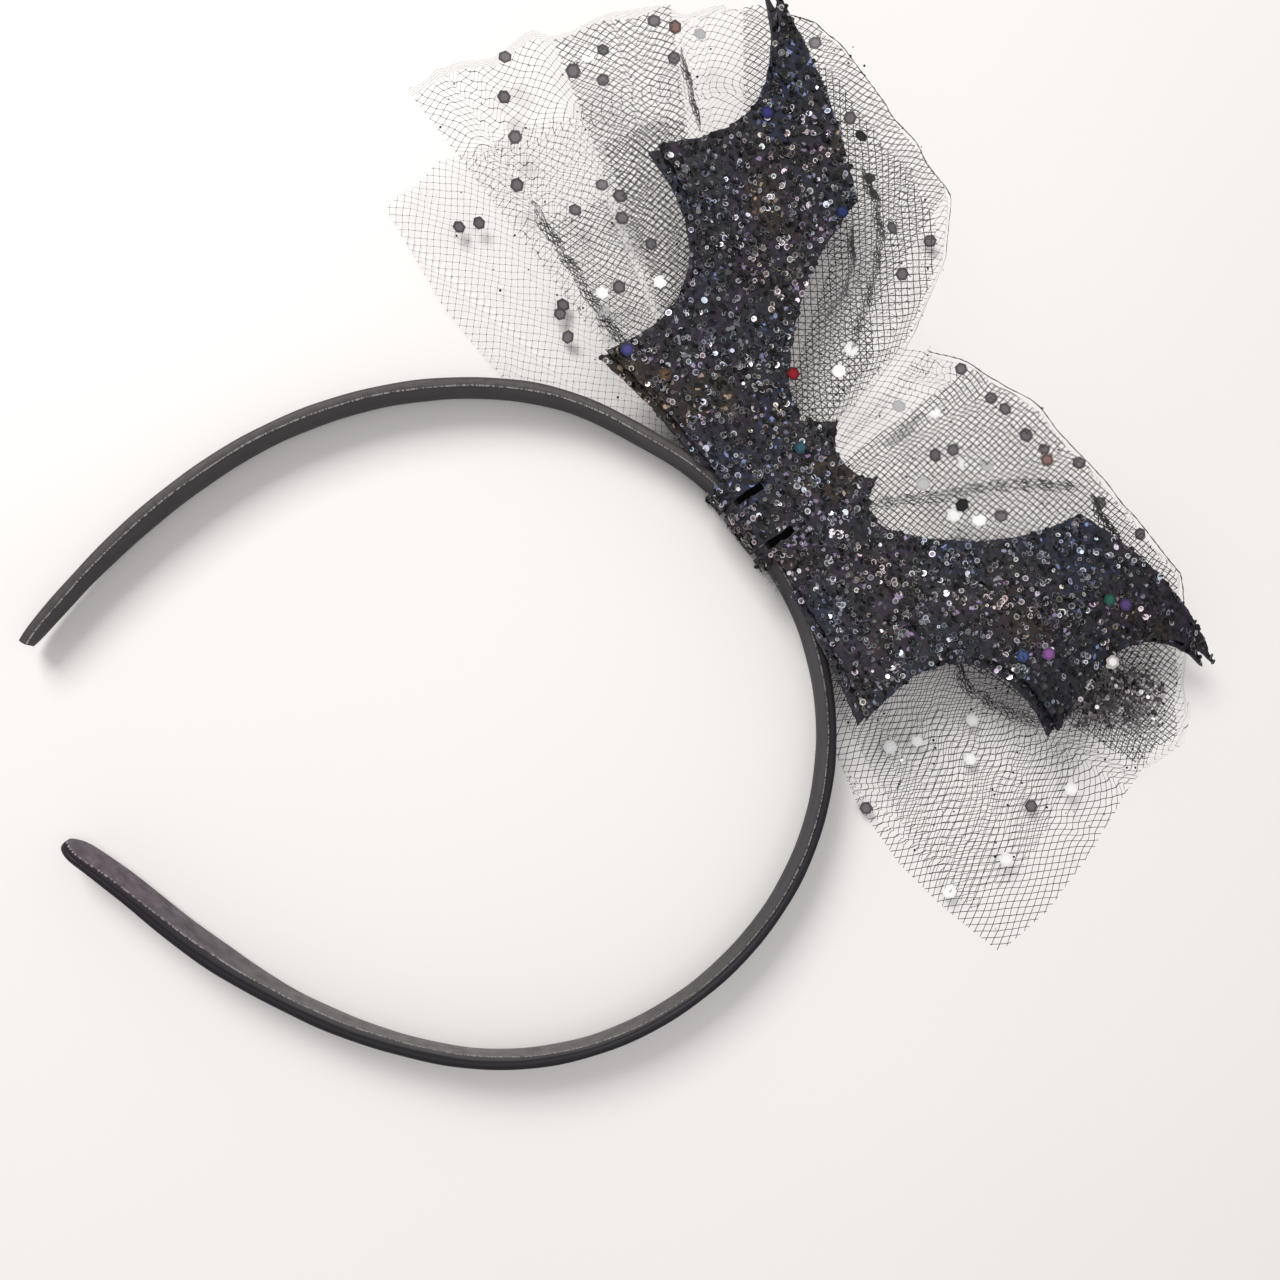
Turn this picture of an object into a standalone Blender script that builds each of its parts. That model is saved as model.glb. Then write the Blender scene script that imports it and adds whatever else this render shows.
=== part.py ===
"""Bat headband: a satin-covered hair hoop lying on its edge, a bat of glitter cloth
folded over the hoop's rim by three fingers, and a bow of stiff net behind the bat.

Plan sizes start at the knot, the place on the hoop's inner face that the bat holds.
+X runs from the gap between the hoop's ends to its crown, +Z up from the table.
The finished part is moved so that the middle of its base is the origin.
"""

import math

import bmesh
import bpy
import numpy as np
from mathutils import Vector, geometry

for old in list(bpy.data.objects):
    bpy.data.objects.remove(old, do_unlink=True)

MM = 0.001
SHARP_DEG = 40  # edges sharper than this stay crisp
GAP = 0.3 * MM  # left between two pieces that touch on the real thing
PROBE = 0.1 * MM  # between the points that a surface's slope is taken from

# Hoop, along the middle of its strip from the lower end to the upper one.
BAND_LENGTH = 371 * MM
BAND_WIDTH = 9.5 * MM
BAND_THICK = 1.6 * MM
BAND_CORNER = 0.45 * MM
BAND_END_WIDTH = 6.4 * MM
BAND_END_THICK = 1.2 * MM
BAND_TAPER = 34 * MM
BAND_TIP = 4 * MM  # rounded off at each end
BAND_STATIONS = 92
KNOT_SHARE = 0.589
BAND_HEADINGS = (  # share_of_length, heading_deg
    (0.00, -34.4),
    (0.05, -40.8),
    (0.12, -30.3),
    (0.20, -13.1),
    (0.30, 25.0),
    (0.38, 52.7),
    (0.46, 83.1),
    (0.52, 105.5),
    (0.57, 125.5),
    (0.60, 127.0),
    (0.64, 149.0),
    (0.68, 154.0),
    (0.73, 175.9),
    (0.80, 195.5),
    (0.88, 216.3),
    (0.95, 228.4),
    (1.00, 234.0),
)
BAND_LEAN = (  # share_of_length, lean_deg: the lower end is twisted, its inner face up
    (0.00, 19.0),
    (0.06, 14.0),
    (0.14, 3.0),
    (0.20, 0.0),
    (1.00, 0.0),
)

# Felt strip glued along the hoop's outer face.
FELT_LENGTH = 40 * MM
FELT_BEFORE = 27 * MM  # of it lies before the knot, toward the lower end
FELT_THICK = 1.9 * MM
FELT_HEIGHT = 8 * MM
FELT_FOOT = 0.6 * MM

# Bat, cut flat from glitter cloth. Its u axis points along the hoop toward the lower
# end, its v axis out of the hoop through the ears.
BAT_TURN_DEG = 35.0
BAT_WALL = 0.9 * MM
WING_SPAN = 161 * MM
BAT_HEIGHT = 61 * MM
BAT_EDGE = (  # share_of_half_span, share_of_height, hollow_share_of_chord_to_next
    (0.503, -0.074, 0.310),  # lower point
    (0.825, 0.405, 0.270),  # middle point
    (1.000, 1.000, -0.040),  # wing tip
    (0.477, 0.846, 0.090),  # shoulder
    (0.222, 0.345, 0.300),  # neck
    (0.082, 0.405, 0.160),  # ear tip
)
EAR_NOTCH_SHARE = 0.338  # of the height
EDGE_STEPS = 7
BODY_HALF = 11 * MM
FINGER_WIDTH = 8.4 * MM
SLIT_WIDTH = 1.3 * MM
SLIT_LENGTH = 5.5 * MM
LEFT_FINGER = 4.0 * MM
RIGHT_FINGER = 2.6 * MM
FOLD_RADIUS = 2.0 * MM
FINGER_FOOT = 0.9 * MM  # a finger's end above the table
SIDE_HOLLOW = 0.03  # of the lower edge between a wing's point and the body
SIDE_STEPS = 5
BACK_SHIFT = 1.6 * MM  # the back cloth shows below the front one by this
BACK_HIP_SHARE = 1.35  # of BODY_HALF: where the back cloth's lower edge turns up
BACK_CLEAR = 1.2 * MM  # its middle ends this far outside the fingers' fold
CLOTH_PITCH = 4.2 * MM
LEFT_WING_SLOPE = (  # share_of_half_span, slope_deg
    (0.00, 0.0),
    (0.14, 0.0),
    (0.30, 6.0),
    (0.70, 5.0),
    (1.00, 1.0),
)
RIGHT_WING_SLOPE = (
    (0.00, 0.0),
    (0.14, 0.0),
    (0.30, 8.0),
    (0.45, 8.0),
    (0.60, 2.0),
    (0.80, -18.0),
    (1.00, -30.0),
)

# Bow of net: two leaves a side, each a fan about the knot, and the pinched middle.
NET_WALL = 1.0 * MM
NET_START = 14 * MM  # the leaves begin this far from the knot
NET_CLEAR = 0.2 * MM  # of the lowest leaf above the table
NET_KNOT_HEIGHT = 5.0 * MM
NET_KNOT_SPREAD = 45 * MM
NET_STEP_DEG = 3.2
NET_RINGS = 7
GATHER_WIDTH = 16 * MM
GATHER_HEIGHT = 8 * MM
GATHER_FOOT = 0.8 * MM
GATHER_PLEATS = 7
GATHER_PLEAT_SHARE = 0.07
LEFT_OVER_REACH = 104.8 * MM
LEFT_UNDER_REACH = 90.8 * MM
RIGHT_OVER_REACH = 94.7 * MM
RIGHT_UNDER_REACH = 93.0 * MM
OVER_LIFT = 1.6 * MM  # of an over leaf above an under leaf at the knot
LEFT_OVER = (  # azimuth_deg, share_of_reach, lift_deg
    (127.3, 1.000, 0.6),
    (122.8, 0.984, 2.6),
    (118.5, 0.974, 1.0),
    (113.6, 0.966, 4.6),
    (111.0, 0.965, 2.2),
    (104.0, 0.964, 4.0),
    (98.6, 0.965, 4.8),
    (96.0, 0.965, 2.6),
    (88.5, 0.968, 4.6),
    (81.7, 0.953, 4.4),
    (78.1, 0.903, 6.0),
    (71.5, 0.829, 6.2),
    (65.2, 0.741, 11.5),
    (58.7, 0.673, 16.5),
    (54.0, 0.597, 15.0),
    (49.6, 0.485, 10.0),
    (48.3, 0.450, 6.5),
)
LEFT_UNDER = (
    (147.5, 0.597, 0.0),
    (143.1, 0.786, 0.5),
    (137.8, 1.000, 0.1),
    (130.5, 0.995, 1.0),
    (124.0, 0.985, 0.1),
    (116.0, 0.970, 0.9),
    (107.0, 0.955, 0.2),
    (99.0, 0.930, 0.0),
)
RIGHT_OVER = (
    (45.0, 0.533, 6.0),
    (38.0, 0.563, 10.0),
    (30.6, 0.614, 6.0),
    (24.0, 0.643, 9.5),
    (16.3, 0.695, 5.5),
    (9.5, 0.733, 7.0),
    (3.6, 0.806, 3.8),
    (-4.6, 0.916, 2.6),
    (-10.7, 0.958, 0.5),
    (-17.0, 0.980, 0.9),
    (-24.7, 1.020, 0.4),
    (-30.0, 0.953, 1.2),
)
RIGHT_UNDER = (
    (-8.0, 0.880, 0.0),
    (-16.0, 0.900, 0.9),
    (-25.0, 0.930, 0.1),
    (-34.0, 0.965, 1.4),
    (-43.0, 0.985, 0.2),
    (-51.0, 0.995, 1.2),
    (-58.5, 1.000, 0.2),
    (-62.5, 0.817, 0.8),
    (-64.7, 0.601, 0.0),
)

MATERIALS = {  # name: (base colour, roughness)
    "satin": ((0.045, 0.042, 0.045), 0.38),
    "glitter_cloth": ((0.035, 0.034, 0.037), 0.45),
    "felt": ((0.020, 0.019, 0.020), 0.95),
    "net": ((0.060, 0.056, 0.058), 0.70),
}


def column(table, at, col, smooth=False):
    """A table's column at a value of its first column. smooth eases in and out of each row."""
    rows = sorted(table)
    first = [row[0] for row in rows]
    i = int(np.clip(np.searchsorted(first, at) - 1, 0, len(rows) - 2))
    share = float(np.clip((at - first[i]) / (first[i + 1] - first[i]), 0, 1))
    if smooth:
        share = share * share * (3 - 2 * share)
    return rows[i][col] * (1 - share) + rows[i + 1][col] * share


def make_object(name, points, faces, material):
    """A closed body of its own with one named material, its faces out."""
    mesh = bpy.data.meshes.new(name)
    mesh.from_pydata([tuple(p) for p in points], [], faces)
    mat = bpy.data.materials.get(material) or bpy.data.materials.new(material)
    colour, rough = MATERIALS[material]
    mat.use_nodes = True
    shader = mat.node_tree.nodes["Principled BSDF"]
    shader.inputs["Base Color"].default_value = (*colour, 1)
    shader.inputs["Roughness"].default_value = rough
    mesh.materials.append(mat)
    work = bmesh.new()
    work.from_mesh(mesh)
    bmesh.ops.recalc_face_normals(work, faces=work.faces)
    work.to_mesh(mesh)
    work.free()
    mesh.shade_smooth()
    mesh.set_sharp_from_angle(angle=math.radians(SHARP_DEG))
    obj = bpy.data.objects.new(name, mesh)
    bpy.context.scene.collection.objects.link(obj)
    return obj


def rings(name, sections, material):
    """A closed body through sections of as many points each, with a cap at each end."""
    across = len(sections[0])
    points = [p for section in sections for p in section]
    faces = [
        (
            i * across + j,
            i * across + (j + 1) % across,
            (i + 1) * across + (j + 1) % across,
            (i + 1) * across + j,
        )
        for i in range(len(sections) - 1)
        for j in range(across)
    ]
    last = (len(sections) - 1) * across
    faces.append(tuple(reversed(range(across))))
    faces.append(tuple(range(last, last + across)))
    return make_object(name, points, faces, material)


def band_line():
    """The hoop's middle line in plan: (distance along it, points, outward normals)."""
    along = np.linspace(0, BAND_LENGTH, 741)
    heading = np.radians([column(BAND_HEADINGS, s / BAND_LENGTH, 1) for s in along])
    middle = (heading[1:] + heading[:-1]) / 2
    step = along[1] - along[0]
    points = np.zeros((len(along), 2))
    points[1:, 0] = np.cumsum(np.cos(middle)) * step
    points[1:, 1] = np.cumsum(np.sin(middle)) * step
    out = np.stack([np.sin(heading), -np.cos(heading)], axis=1)
    knot = int(round(KNOT_SHARE * (len(along) - 1)))
    return along, points - points[knot] + out[knot] * BAND_THICK / 2, out


ALONG, LINE, OUT = band_line()
KNOT_ALONG = KNOT_SHARE * BAND_LENGTH
U_AXIS = np.array([math.sin(math.radians(BAT_TURN_DEG)), -math.cos(math.radians(BAT_TURN_DEG))])
V_AXIS = np.array([-U_AXIS[1], U_AXIS[0]])


def on_line(values, s):
    """values, given along the hoop's line, at the distance s along it."""
    return np.array([np.interp(s, ALONG, values[:, k]) for k in range(values.shape[1])])


def band():
    """Loft of the hoop's strip, a flat section that narrows and thins toward both ends."""
    sections = []
    ease = np.linspace(0, 1, 5) ** 2 * BAND_TIP
    middle = np.linspace(BAND_TIP, BAND_LENGTH - BAND_TIP, BAND_STATIONS)
    for s in (*ease[:-1], *middle, *(BAND_LENGTH - ease[:-1][::-1])):
        end = min(s, BAND_LENGTH - s)
        full = float(np.clip(end / BAND_TAPER, 0, 1)) ** 0.7
        round_off = math.sqrt(1 - (1 - min(end / BAND_TIP, 1)) ** 2 * 0.85)
        high = (BAND_END_WIDTH + (BAND_WIDTH - BAND_END_WIDTH) * full) * round_off / 2
        deep = (BAND_END_THICK + (BAND_THICK - BAND_END_THICK) * full) / 2
        cut = min(BAND_CORNER, deep * 0.6)
        lean = math.radians(column(BAND_LEAN, s / BAND_LENGTH, 1, smooth=True))
        point, out = on_line(LINE, s), on_line(OUT, s)
        corners = (
            (-deep, high - cut),
            (-deep, cut - high),
            (cut - deep, -high),
            (deep - cut, -high),
            (deep, cut - high),
            (deep, high - cut),
            (deep - cut, high),
            (cut - deep, high),
        )
        section = []
        for x, z in corners:
            across = x * math.cos(lean) + z * math.sin(lean)
            up = z * math.cos(lean) - x * math.sin(lean)
            section.append((*(point + out * across), BAND_WIDTH / 2 + up))
        sections.append(section)
    return rings("band", sections, "satin")


def felt_pad():
    """A strip along the hoop's outer face, as long as the bow's seat, with soft corners."""
    near = BAND_THICK / 2 + GAP
    start = KNOT_ALONG - FELT_BEFORE
    sections = []
    for s in np.linspace(start, start + FELT_LENGTH, 15):
        end = min(s - start, start + FELT_LENGTH - s) / FELT_LENGTH
        full = 0.82 + 0.18 * min(end * 8, 1)
        deep, high = FELT_THICK * full, FELT_HEIGHT * full / 2
        soft = FELT_THICK / 4
        centre = FELT_FOOT + FELT_HEIGHT / 2
        point, out = on_line(LINE, s), on_line(OUT, s)
        sections.append(
            [
                (*(point + out * (near + x)), centre + z)
                for x, z in (
                    (0, high),
                    (0, -high),
                    (deep - soft, -high),
                    (deep, soft - high),
                    (deep, high - soft),
                    (deep - soft, high),
                )
            ]
        )
    return rings("felt_pad", sections, "felt")


def bow_clear():
    """How far out from the knot the hoop and the felt strip reach, by azimuth in degrees."""
    rows = []
    for s, point, out in zip(ALONG, LINE, OUT):
        reach = BAND_THICK / 2
        if -GAP < s - (KNOT_ALONG - FELT_BEFORE) < FELT_LENGTH + GAP:
            reach += GAP + FELT_THICK
        x, y = point + out * (reach + GAP + NET_WALL / 2)
        rows.append((math.degrees(math.atan2(y, x)), math.hypot(x, y)))
    return rows


CLEAR_ROWS = bow_clear()


def leaf_start(azimuth):
    """Where a leaf begins on its ray: outside the pinched middle, the hoop and the felt."""
    reach = NET_START
    for (a0, r0), (a1, r1) in zip(CLEAR_ROWS, CLEAR_ROWS[1:]):
        if abs(a1 - a0) < 90 and min(a0, a1) - 0.5 <= azimuth <= max(a0, a1) + 0.5:
            if max(r0, r1) < BAND_LENGTH / 4:
                reach = max(reach, r0, r1)
    return reach


def leaf(name, table, reach, over):
    """A pleated fan of net about the knot, from its table of rim points and lifts.

    The height at the distance r is what the pinched middle gives, which dies away at
    NET_KNOT_SPREAD, and the sine of the row's lift times what r is past NET_START.
    """
    rows = sorted(table)
    azimuths = []
    for (a0, *_), (a1, *_) in zip(rows, rows[1:]):
        count = max(2, math.ceil((a1 - a0) / NET_STEP_DEG))
        azimuths += list(np.linspace(a0, a1, count + 1)[:-1])
    azimuths.append(rows[-1][0])
    foot = NET_WALL / 2 + NET_CLEAR

    def rim(azimuth):
        i = int(np.clip(np.searchsorted([r[0] for r in rows], azimuth) - 1, 0, len(rows) - 2))
        (a0, r0, _), (a1, r1, _) = rows[i], rows[i + 1]
        here, whole = math.radians(azimuth - a0), math.radians(a1 - a0)
        return reach * r0 * r1 * math.sin(whole) / (r0 * math.sin(here) + r1 * math.sin(whole - here))

    def place(azimuth, r):
        height = foot + max(0.0, 1 - r / NET_KNOT_SPREAD) ** 1.5 * (NET_KNOT_HEIGHT - foot)
        height += (r - NET_START) * math.sin(math.radians(column(table, azimuth, 2, smooth=True)))
        turn = math.radians(azimuth)
        return np.array([r * math.cos(turn), r * math.sin(turn), height + (OVER_LIFT if over else 0)])

    top, bottom = [], []
    for azimuth in azimuths:
        near = leaf_start(azimuth)
        far = max(rim(azimuth), near + 2 * NET_WALL)
        for share in np.linspace(0, 1, NET_RINGS):
            r = near + (far - near) * share
            turn = math.degrees(PROBE / r)
            normal = np.cross(
                place(azimuth, r + PROBE) - place(azimuth, r - PROBE),
                place(azimuth + turn, r) - place(azimuth - turn, r),
            )
            normal *= NET_WALL / 2 / np.linalg.norm(normal)
            top.append(place(azimuth, r) + normal)
            bottom.append(place(azimuth, r) - normal)
    return slab(name, top, bottom, len(azimuths), NET_RINGS, "net")


def slab(name, top, bottom, count, across, material):
    """A closed wall between two grids of points, count rows of across points each."""
    points = top + bottom
    base = len(top)
    quads = [
        (i * across + j, i * across + j + 1, (i + 1) * across + j + 1, (i + 1) * across + j)
        for i in range(count - 1)
        for j in range(across - 1)
    ]
    faces = quads + [tuple(base + k for k in reversed(q)) for q in quads]
    loop = (
        list(range(across))
        + [i * across + across - 1 for i in range(1, count)]
        + [(count - 1) * across + j for j in range(across - 2, -1, -1)]
        + [i * across for i in range(count - 2, 0, -1)]
    )
    faces += [(b, a, base + a, base + b) for a, b in zip(loop, loop[1:] + loop[:1])]
    return make_object(name, points, faces, material)


def tulle_gather():
    """The pinched middle of the bow, a pleated bundle behind the bat's body."""
    near = BAND_THICK + 2 * GAP + FELT_THICK
    seat = NET_START - 2 * GAP
    sections = []
    count = 28
    for u in np.linspace(-1, 1, 11):
        full = math.sqrt(max(0.0, 1 - (u * 0.93) ** 2)) * 0.55 + 0.45
        far = math.sqrt(seat**2 - (u * GATHER_WIDTH / 2) ** 2)
        centre_v, half_v = (near + far) / 2, (far - near) / 2
        section = []
        for k in range(count):
            a = 2 * math.pi * k / count
            pleat = 1 - GATHER_PLEAT_SHARE * (1 - math.cos(GATHER_PLEATS * a)) / 2
            v = centre_v + half_v * full * pleat * math.cos(a)
            z = GATHER_FOOT + GATHER_HEIGHT / 2 * (1 + full * pleat * math.sin(a))
            section.append((*(U_AXIS * u * GATHER_WIDTH / 2 + V_AXIS * v), z))
        sections.append(section)
    return rings("tulle_gather", sections, "net")


def arc(start, end, hollow, steps):
    """Points from start up to end, not end itself, bowed to the left by hollow of the chord."""
    start, end = np.array(start), np.array(end)
    chord = end - start
    left = np.array([-chord[1], chord[0]])
    return [
        start + chord * t + left * hollow * 4 * t * (1 - t) for t in np.linspace(0, 1, steps + 1)[:-1]
    ]


def wing_edge():
    """The right half of the bat's cut, from its lower point to the notch between the ears."""
    half = WING_SPAN / 2
    corners = [(a * half, b * BAT_HEIGHT, c) for a, b, c in BAT_EDGE]
    corners.append((0, EAR_NOTCH_SHARE * BAT_HEIGHT, 0))
    edge = []
    for (x0, y0, hollow), (x1, y1, _) in zip(corners, corners[1:]):
        steps = max(3, round(EDGE_STEPS * math.dist((x0, y0), (x1, y1)) / (half / 2)))
        edge += arc((x0, y0), (x1, y1), hollow, steps)
    return edge


def mirrored(edge):
    """The same edge on the left half, in the order that closes the cut."""
    return [np.array([-x, y]) for x, y in reversed(edge)]


RIGHT_WING_LEAN = 0.095  # toward the ears, as a share of the distance out from the hoop
FRONT_MIDDLE = BAND_WIDTH + 2 * GAP + 1.5 * BAT_WALL  # height of the front cloth's middle


def fold_path():
    """Rows (distance, v, z) down a finger: round the hoop's rim, then to its inner face."""
    glued = GAP + BAT_WALL / 2
    points = [(0, FRONT_MIDDLE)]
    for a in np.radians(np.arange(15, 91, 15)):
        points.append((-FOLD_RADIUS * math.sin(a), FRONT_MIDDLE - FOLD_RADIUS * (1 - math.cos(a))))
    points.append((-(FOLD_RADIUS + glued) / 2, BAND_WIDTH * 0.8))
    points.append((-glued, BAND_WIDTH * 0.62))
    points.append((-glued, BAND_WIDTH * 0.35))
    points.append((-glued, FINGER_FOOT))
    rows, far = [(0.0, *points[0])], 0.0
    for a, b in zip(points, points[1:]):
        far += math.dist(a, b)
        rows.append((far, *b))
    return rows


FOLD = fold_path()


def fingers():
    """The middle of the front cloth's lower edge, left to right, with slits and fingers."""
    slit = FINGER_WIDTH / 2 + SLIT_WIDTH
    spans = (
        (-slit - LEFT_FINGER, -slit),
        (-FINGER_WIDTH / 2, FINGER_WIDTH / 2),
        (slit, slit + RIGHT_FINGER),
    )
    down = [0.0] + [-row[0] for row in FOLD[1:]]
    slit_rows = [SLIT_LENGTH, SLIT_LENGTH / 2]
    points = []
    for k, (left, right) in enumerate(spans):
        first = [] if k == 0 else slit_rows
        last = [] if k == len(spans) - 1 else slit_rows[::-1]
        points += [(left, s) for s in [*first, *down]]
        if right - left > CLOTH_PITCH:
            points += [(x, down[-1]) for x in np.linspace(left, right, 4)[1:-1]]
        points += [(right, s) for s in [*down[::-1], *last]]
    return [np.array(p) for p in points]


def hoop_inside(u):
    """The v of the hoop's inner face beside the knot, at u."""
    near = np.abs(ALONG - KNOT_ALONG) < BODY_HALF * 2
    face = LINE[near] - OUT[near] * BAND_THICK / 2
    us, vs = face @ U_AXIS, face @ V_AXIS
    order = np.argsort(us)
    return float(np.interp(u, us[order], vs[order]))


def wing_run(flat_u):
    """Where a wing's slope takes a flat distance from the middle: (run, rise)."""
    table = RIGHT_WING_SLOPE if flat_u > 0 else LEFT_WING_SLOPE
    steps = np.linspace(0, abs(flat_u), 25)
    slope = np.radians([column(table, s / (WING_SPAN / 2), 1) for s in (steps[1:] + steps[:-1]) / 2])
    step = abs(flat_u) / 24
    return math.copysign(np.cos(slope).sum() * step, flat_u), np.sin(slope).sum() * step


def bat_place(u, s):
    """The middle of the front cloth: flat (u, s) bent along the wings and round the hoop."""
    run, rise = wing_run(u)
    onto_wing = float(np.clip(u / (2 * BODY_HALF), 0, 1))
    run -= RIGHT_WING_LEAN * max(0.0, s) * onto_wing**2 * (3 - 2 * onto_wing)
    held = float(np.clip(1 - s / (SLIT_LENGTH * 1.3), 0, 1)) if abs(u) < BODY_HALF else 0.0
    v, z = s, FRONT_MIDDLE + rise
    if s < 0 and abs(u) < BODY_HALF:
        v = np.interp(-s, [r[0] for r in FOLD], [r[1] for r in FOLD])
        z = np.interp(-s, [r[0] for r in FOLD], [r[2] for r in FOLD])
    v += held * hoop_inside(u)
    plan = U_AXIS * run + V_AXIS * v
    return np.array([plan[0], plan[1], z])


def cut_cloth(name, outline, shift, depth, wall, material):
    """A closed wall from a flat cut, laid along the bat's surface depth below its middle."""
    outline = [Vector((float(x), float(y))) for x, y in outline]
    low = [min(p[k] for p in outline) for k in (0, 1)]
    high = [max(p[k] for p in outline) for k in (0, 1)]
    inner = []
    count = len(outline)
    for i, y in enumerate(np.arange(low[1] + CLOTH_PITCH / 2, high[1], CLOTH_PITCH * 0.87)):
        for x in np.arange(low[0] + CLOTH_PITCH / 2 * (1 + i % 2), high[0], CLOTH_PITCH):
            p = Vector((float(x), float(y)))
            inside, near = False, 1.0
            for a, b in zip(outline, outline[1:] + outline[:1]):
                if (a.y > y) != (b.y > y) and x < (b.x - a.x) * (y - a.y) / (b.y - a.y) + a.x:
                    inside = not inside
                q, t = geometry.intersect_point_line(p, a, b)
                q = a if t < 0 else b if t > 1 else q
                near = min(near, (p - Vector(q[:2])).length)
            if inside and near > CLOTH_PITCH * 0.45:
                inner.append(p)
    flat, _, tris, *_ = geometry.delaunay_2d_cdt(
        outline + inner, [], [list(range(count))], 1, 1e-7
    )
    top, bottom = [], []
    for p in flat:
        u, s = p.x, p.y + shift
        normal = np.cross(
            bat_place(u + PROBE, s) - bat_place(u - PROBE, s),
            bat_place(u, s + PROBE) - bat_place(u, s - PROBE),
        )
        normal /= np.linalg.norm(normal)
        middle = bat_place(u, s) - normal * depth
        top.append(middle + normal * wall / 2)
        bottom.append(middle - normal * wall / 2)
    base = len(top)
    faces = [tuple(t) for t in tris] + [tuple(base + k for k in reversed(t)) for t in tris]
    sides = {(t[k], t[(k + 1) % len(t)]) for t in tris for k in range(len(t))}
    faces += [(b, a, base + a, base + b) for a, b in sides if (b, a) not in sides]
    return make_object(name, top + bottom, faces, material)


def bat_front():
    """The front cloth: wings, body, ears and the three fingers that hold the hoop."""
    edge = wing_edge()
    notch = np.array([0, EAR_NOTCH_SHARE * BAT_HEIGHT])
    side_left = np.array([-FINGER_WIDTH / 2 - SLIT_WIDTH - LEFT_FINGER, 0.0])
    outline = arc(mirrored(edge)[-1], side_left, SIDE_HOLLOW, SIDE_STEPS)
    outline += fingers()
    last = outline.pop()
    outline += arc(last, edge[0], SIDE_HOLLOW, SIDE_STEPS)
    outline += edge + [notch] + mirrored(edge)[:-1]
    return cut_cloth("bat_front", outline, 0, 0, BAT_WALL, "glitter_cloth")


def bat_back():
    """The back cloth: the same cut without fingers, a little lower, under the front one."""
    edge = wing_edge()
    notch = np.array([0, EAR_NOTCH_SHARE * BAT_HEIGHT])
    stop = BACK_SHIFT + BACK_CLEAR
    middle = [np.array(p) for p in ((-BODY_HALF, stop), (0.0, stop), (BODY_HALF, stop))]
    hip = BACK_HIP_SHARE * BODY_HALF
    outline = arc(mirrored(edge)[-1], (-hip, 0), SIDE_HOLLOW, SIDE_STEPS)
    outline += arc((-hip, 0), middle[0], 0, 1) + middle[:2]
    outline += arc(middle[2], (hip, 0), 0, 1)
    outline += arc((hip, 0), edge[0], SIDE_HOLLOW, SIDE_STEPS)
    outline += edge + [notch] + mirrored(edge)[:-1]
    return cut_cloth("bat_back", outline, -BACK_SHIFT, BAT_WALL + GAP, BAT_WALL, "glitter_cloth")


def move_to_base(objects):
    """Moves every body together so that the middle of the part's base is the origin."""
    points = np.array([v.co for obj in objects for v in obj.data.vertices])
    low, high = points.min(axis=0), points.max(axis=0)
    middle = Vector(((low[0] + high[0]) / 2, (low[1] + high[1]) / 2, low[2]))
    for obj in objects:
        for v in obj.data.vertices:
            v.co -= middle
    print("moved by", tuple(round(-x * 1000, 4) for x in middle), "mm")


pieces = [
    band(),
    felt_pad(),
    tulle_gather(),
    leaf("tulle_left_under", LEFT_UNDER, LEFT_UNDER_REACH, False),
    leaf("tulle_left_over", LEFT_OVER, LEFT_OVER_REACH, True),
    leaf("tulle_right_under", RIGHT_UNDER, RIGHT_UNDER_REACH, False),
    leaf("tulle_right_over", RIGHT_OVER, RIGHT_OVER_REACH, True),
    bat_back(),
    bat_front(),
]
move_to_base(pieces)
for piece in pieces:
    print(piece.name, sum(len(p.vertices) - 2 for p in piece.data.polygons), "triangles")
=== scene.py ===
"""Dresses the bat headband: satin hoop, glitter bat with its flakes, felt strip, and the
sequined net bow, on a pale table under soft studio light.

Plan sizes start at the knot, the place on the hoop's inner face that the bat holds.
"""

import math

import bmesh
import bpy
import numpy as np
from mathutils import Matrix, Vector, geometry


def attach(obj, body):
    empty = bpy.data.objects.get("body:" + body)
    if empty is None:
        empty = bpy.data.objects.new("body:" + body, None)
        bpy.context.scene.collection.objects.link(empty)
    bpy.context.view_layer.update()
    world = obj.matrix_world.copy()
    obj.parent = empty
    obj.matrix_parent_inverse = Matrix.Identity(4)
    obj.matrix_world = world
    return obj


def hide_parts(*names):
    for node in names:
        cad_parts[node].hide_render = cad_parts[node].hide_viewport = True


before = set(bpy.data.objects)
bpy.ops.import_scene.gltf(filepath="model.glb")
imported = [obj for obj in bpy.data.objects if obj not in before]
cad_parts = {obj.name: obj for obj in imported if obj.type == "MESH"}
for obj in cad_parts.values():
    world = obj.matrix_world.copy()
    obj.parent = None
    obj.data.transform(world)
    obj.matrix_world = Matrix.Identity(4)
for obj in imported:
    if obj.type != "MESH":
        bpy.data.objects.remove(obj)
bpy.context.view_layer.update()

MM = 0.001
KNOT = np.array([17.596, -2.908, 0.0]) * MM  # the knot's place in the row's frame

# Camera: nearly overhead, over the hoop's hollow, leaning toward the bat.
PICTURE = 1280
FOCAL = 1174  # in pixels of the picture
EYE = KNOT + np.array([-47.1, -39.8, 218.0]) * MM
LEAN = Matrix.Rotation(math.radians(8.8255), 3, Vector((105.0, -149.0, 0.0)).normalized())

camera = bpy.data.objects.new("camera", bpy.data.cameras.new("camera"))
bpy.context.scene.collection.objects.link(camera)
camera.data.sensor_width = 36.0
camera.data.lens = 36.0 * FOCAL / PICTURE
camera.data.clip_start = 0.01
camera.matrix_world = Matrix.Translation(Vector(EYE)) @ LEAN.to_4x4()
bpy.context.scene.camera = camera


def seen_at(x, y, height):
    """The plan point, from the knot, that the picture's pixel (x, y) shows at that height."""
    way = LEAN @ Vector((x - PICTURE / 2, PICTURE / 2 - y, -FOCAL))
    t = (height - EYE[2]) / way.z
    return np.array([EYE[0] + way.x * t, EYE[1] + way.y * t]) - KNOT[:2]


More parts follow.
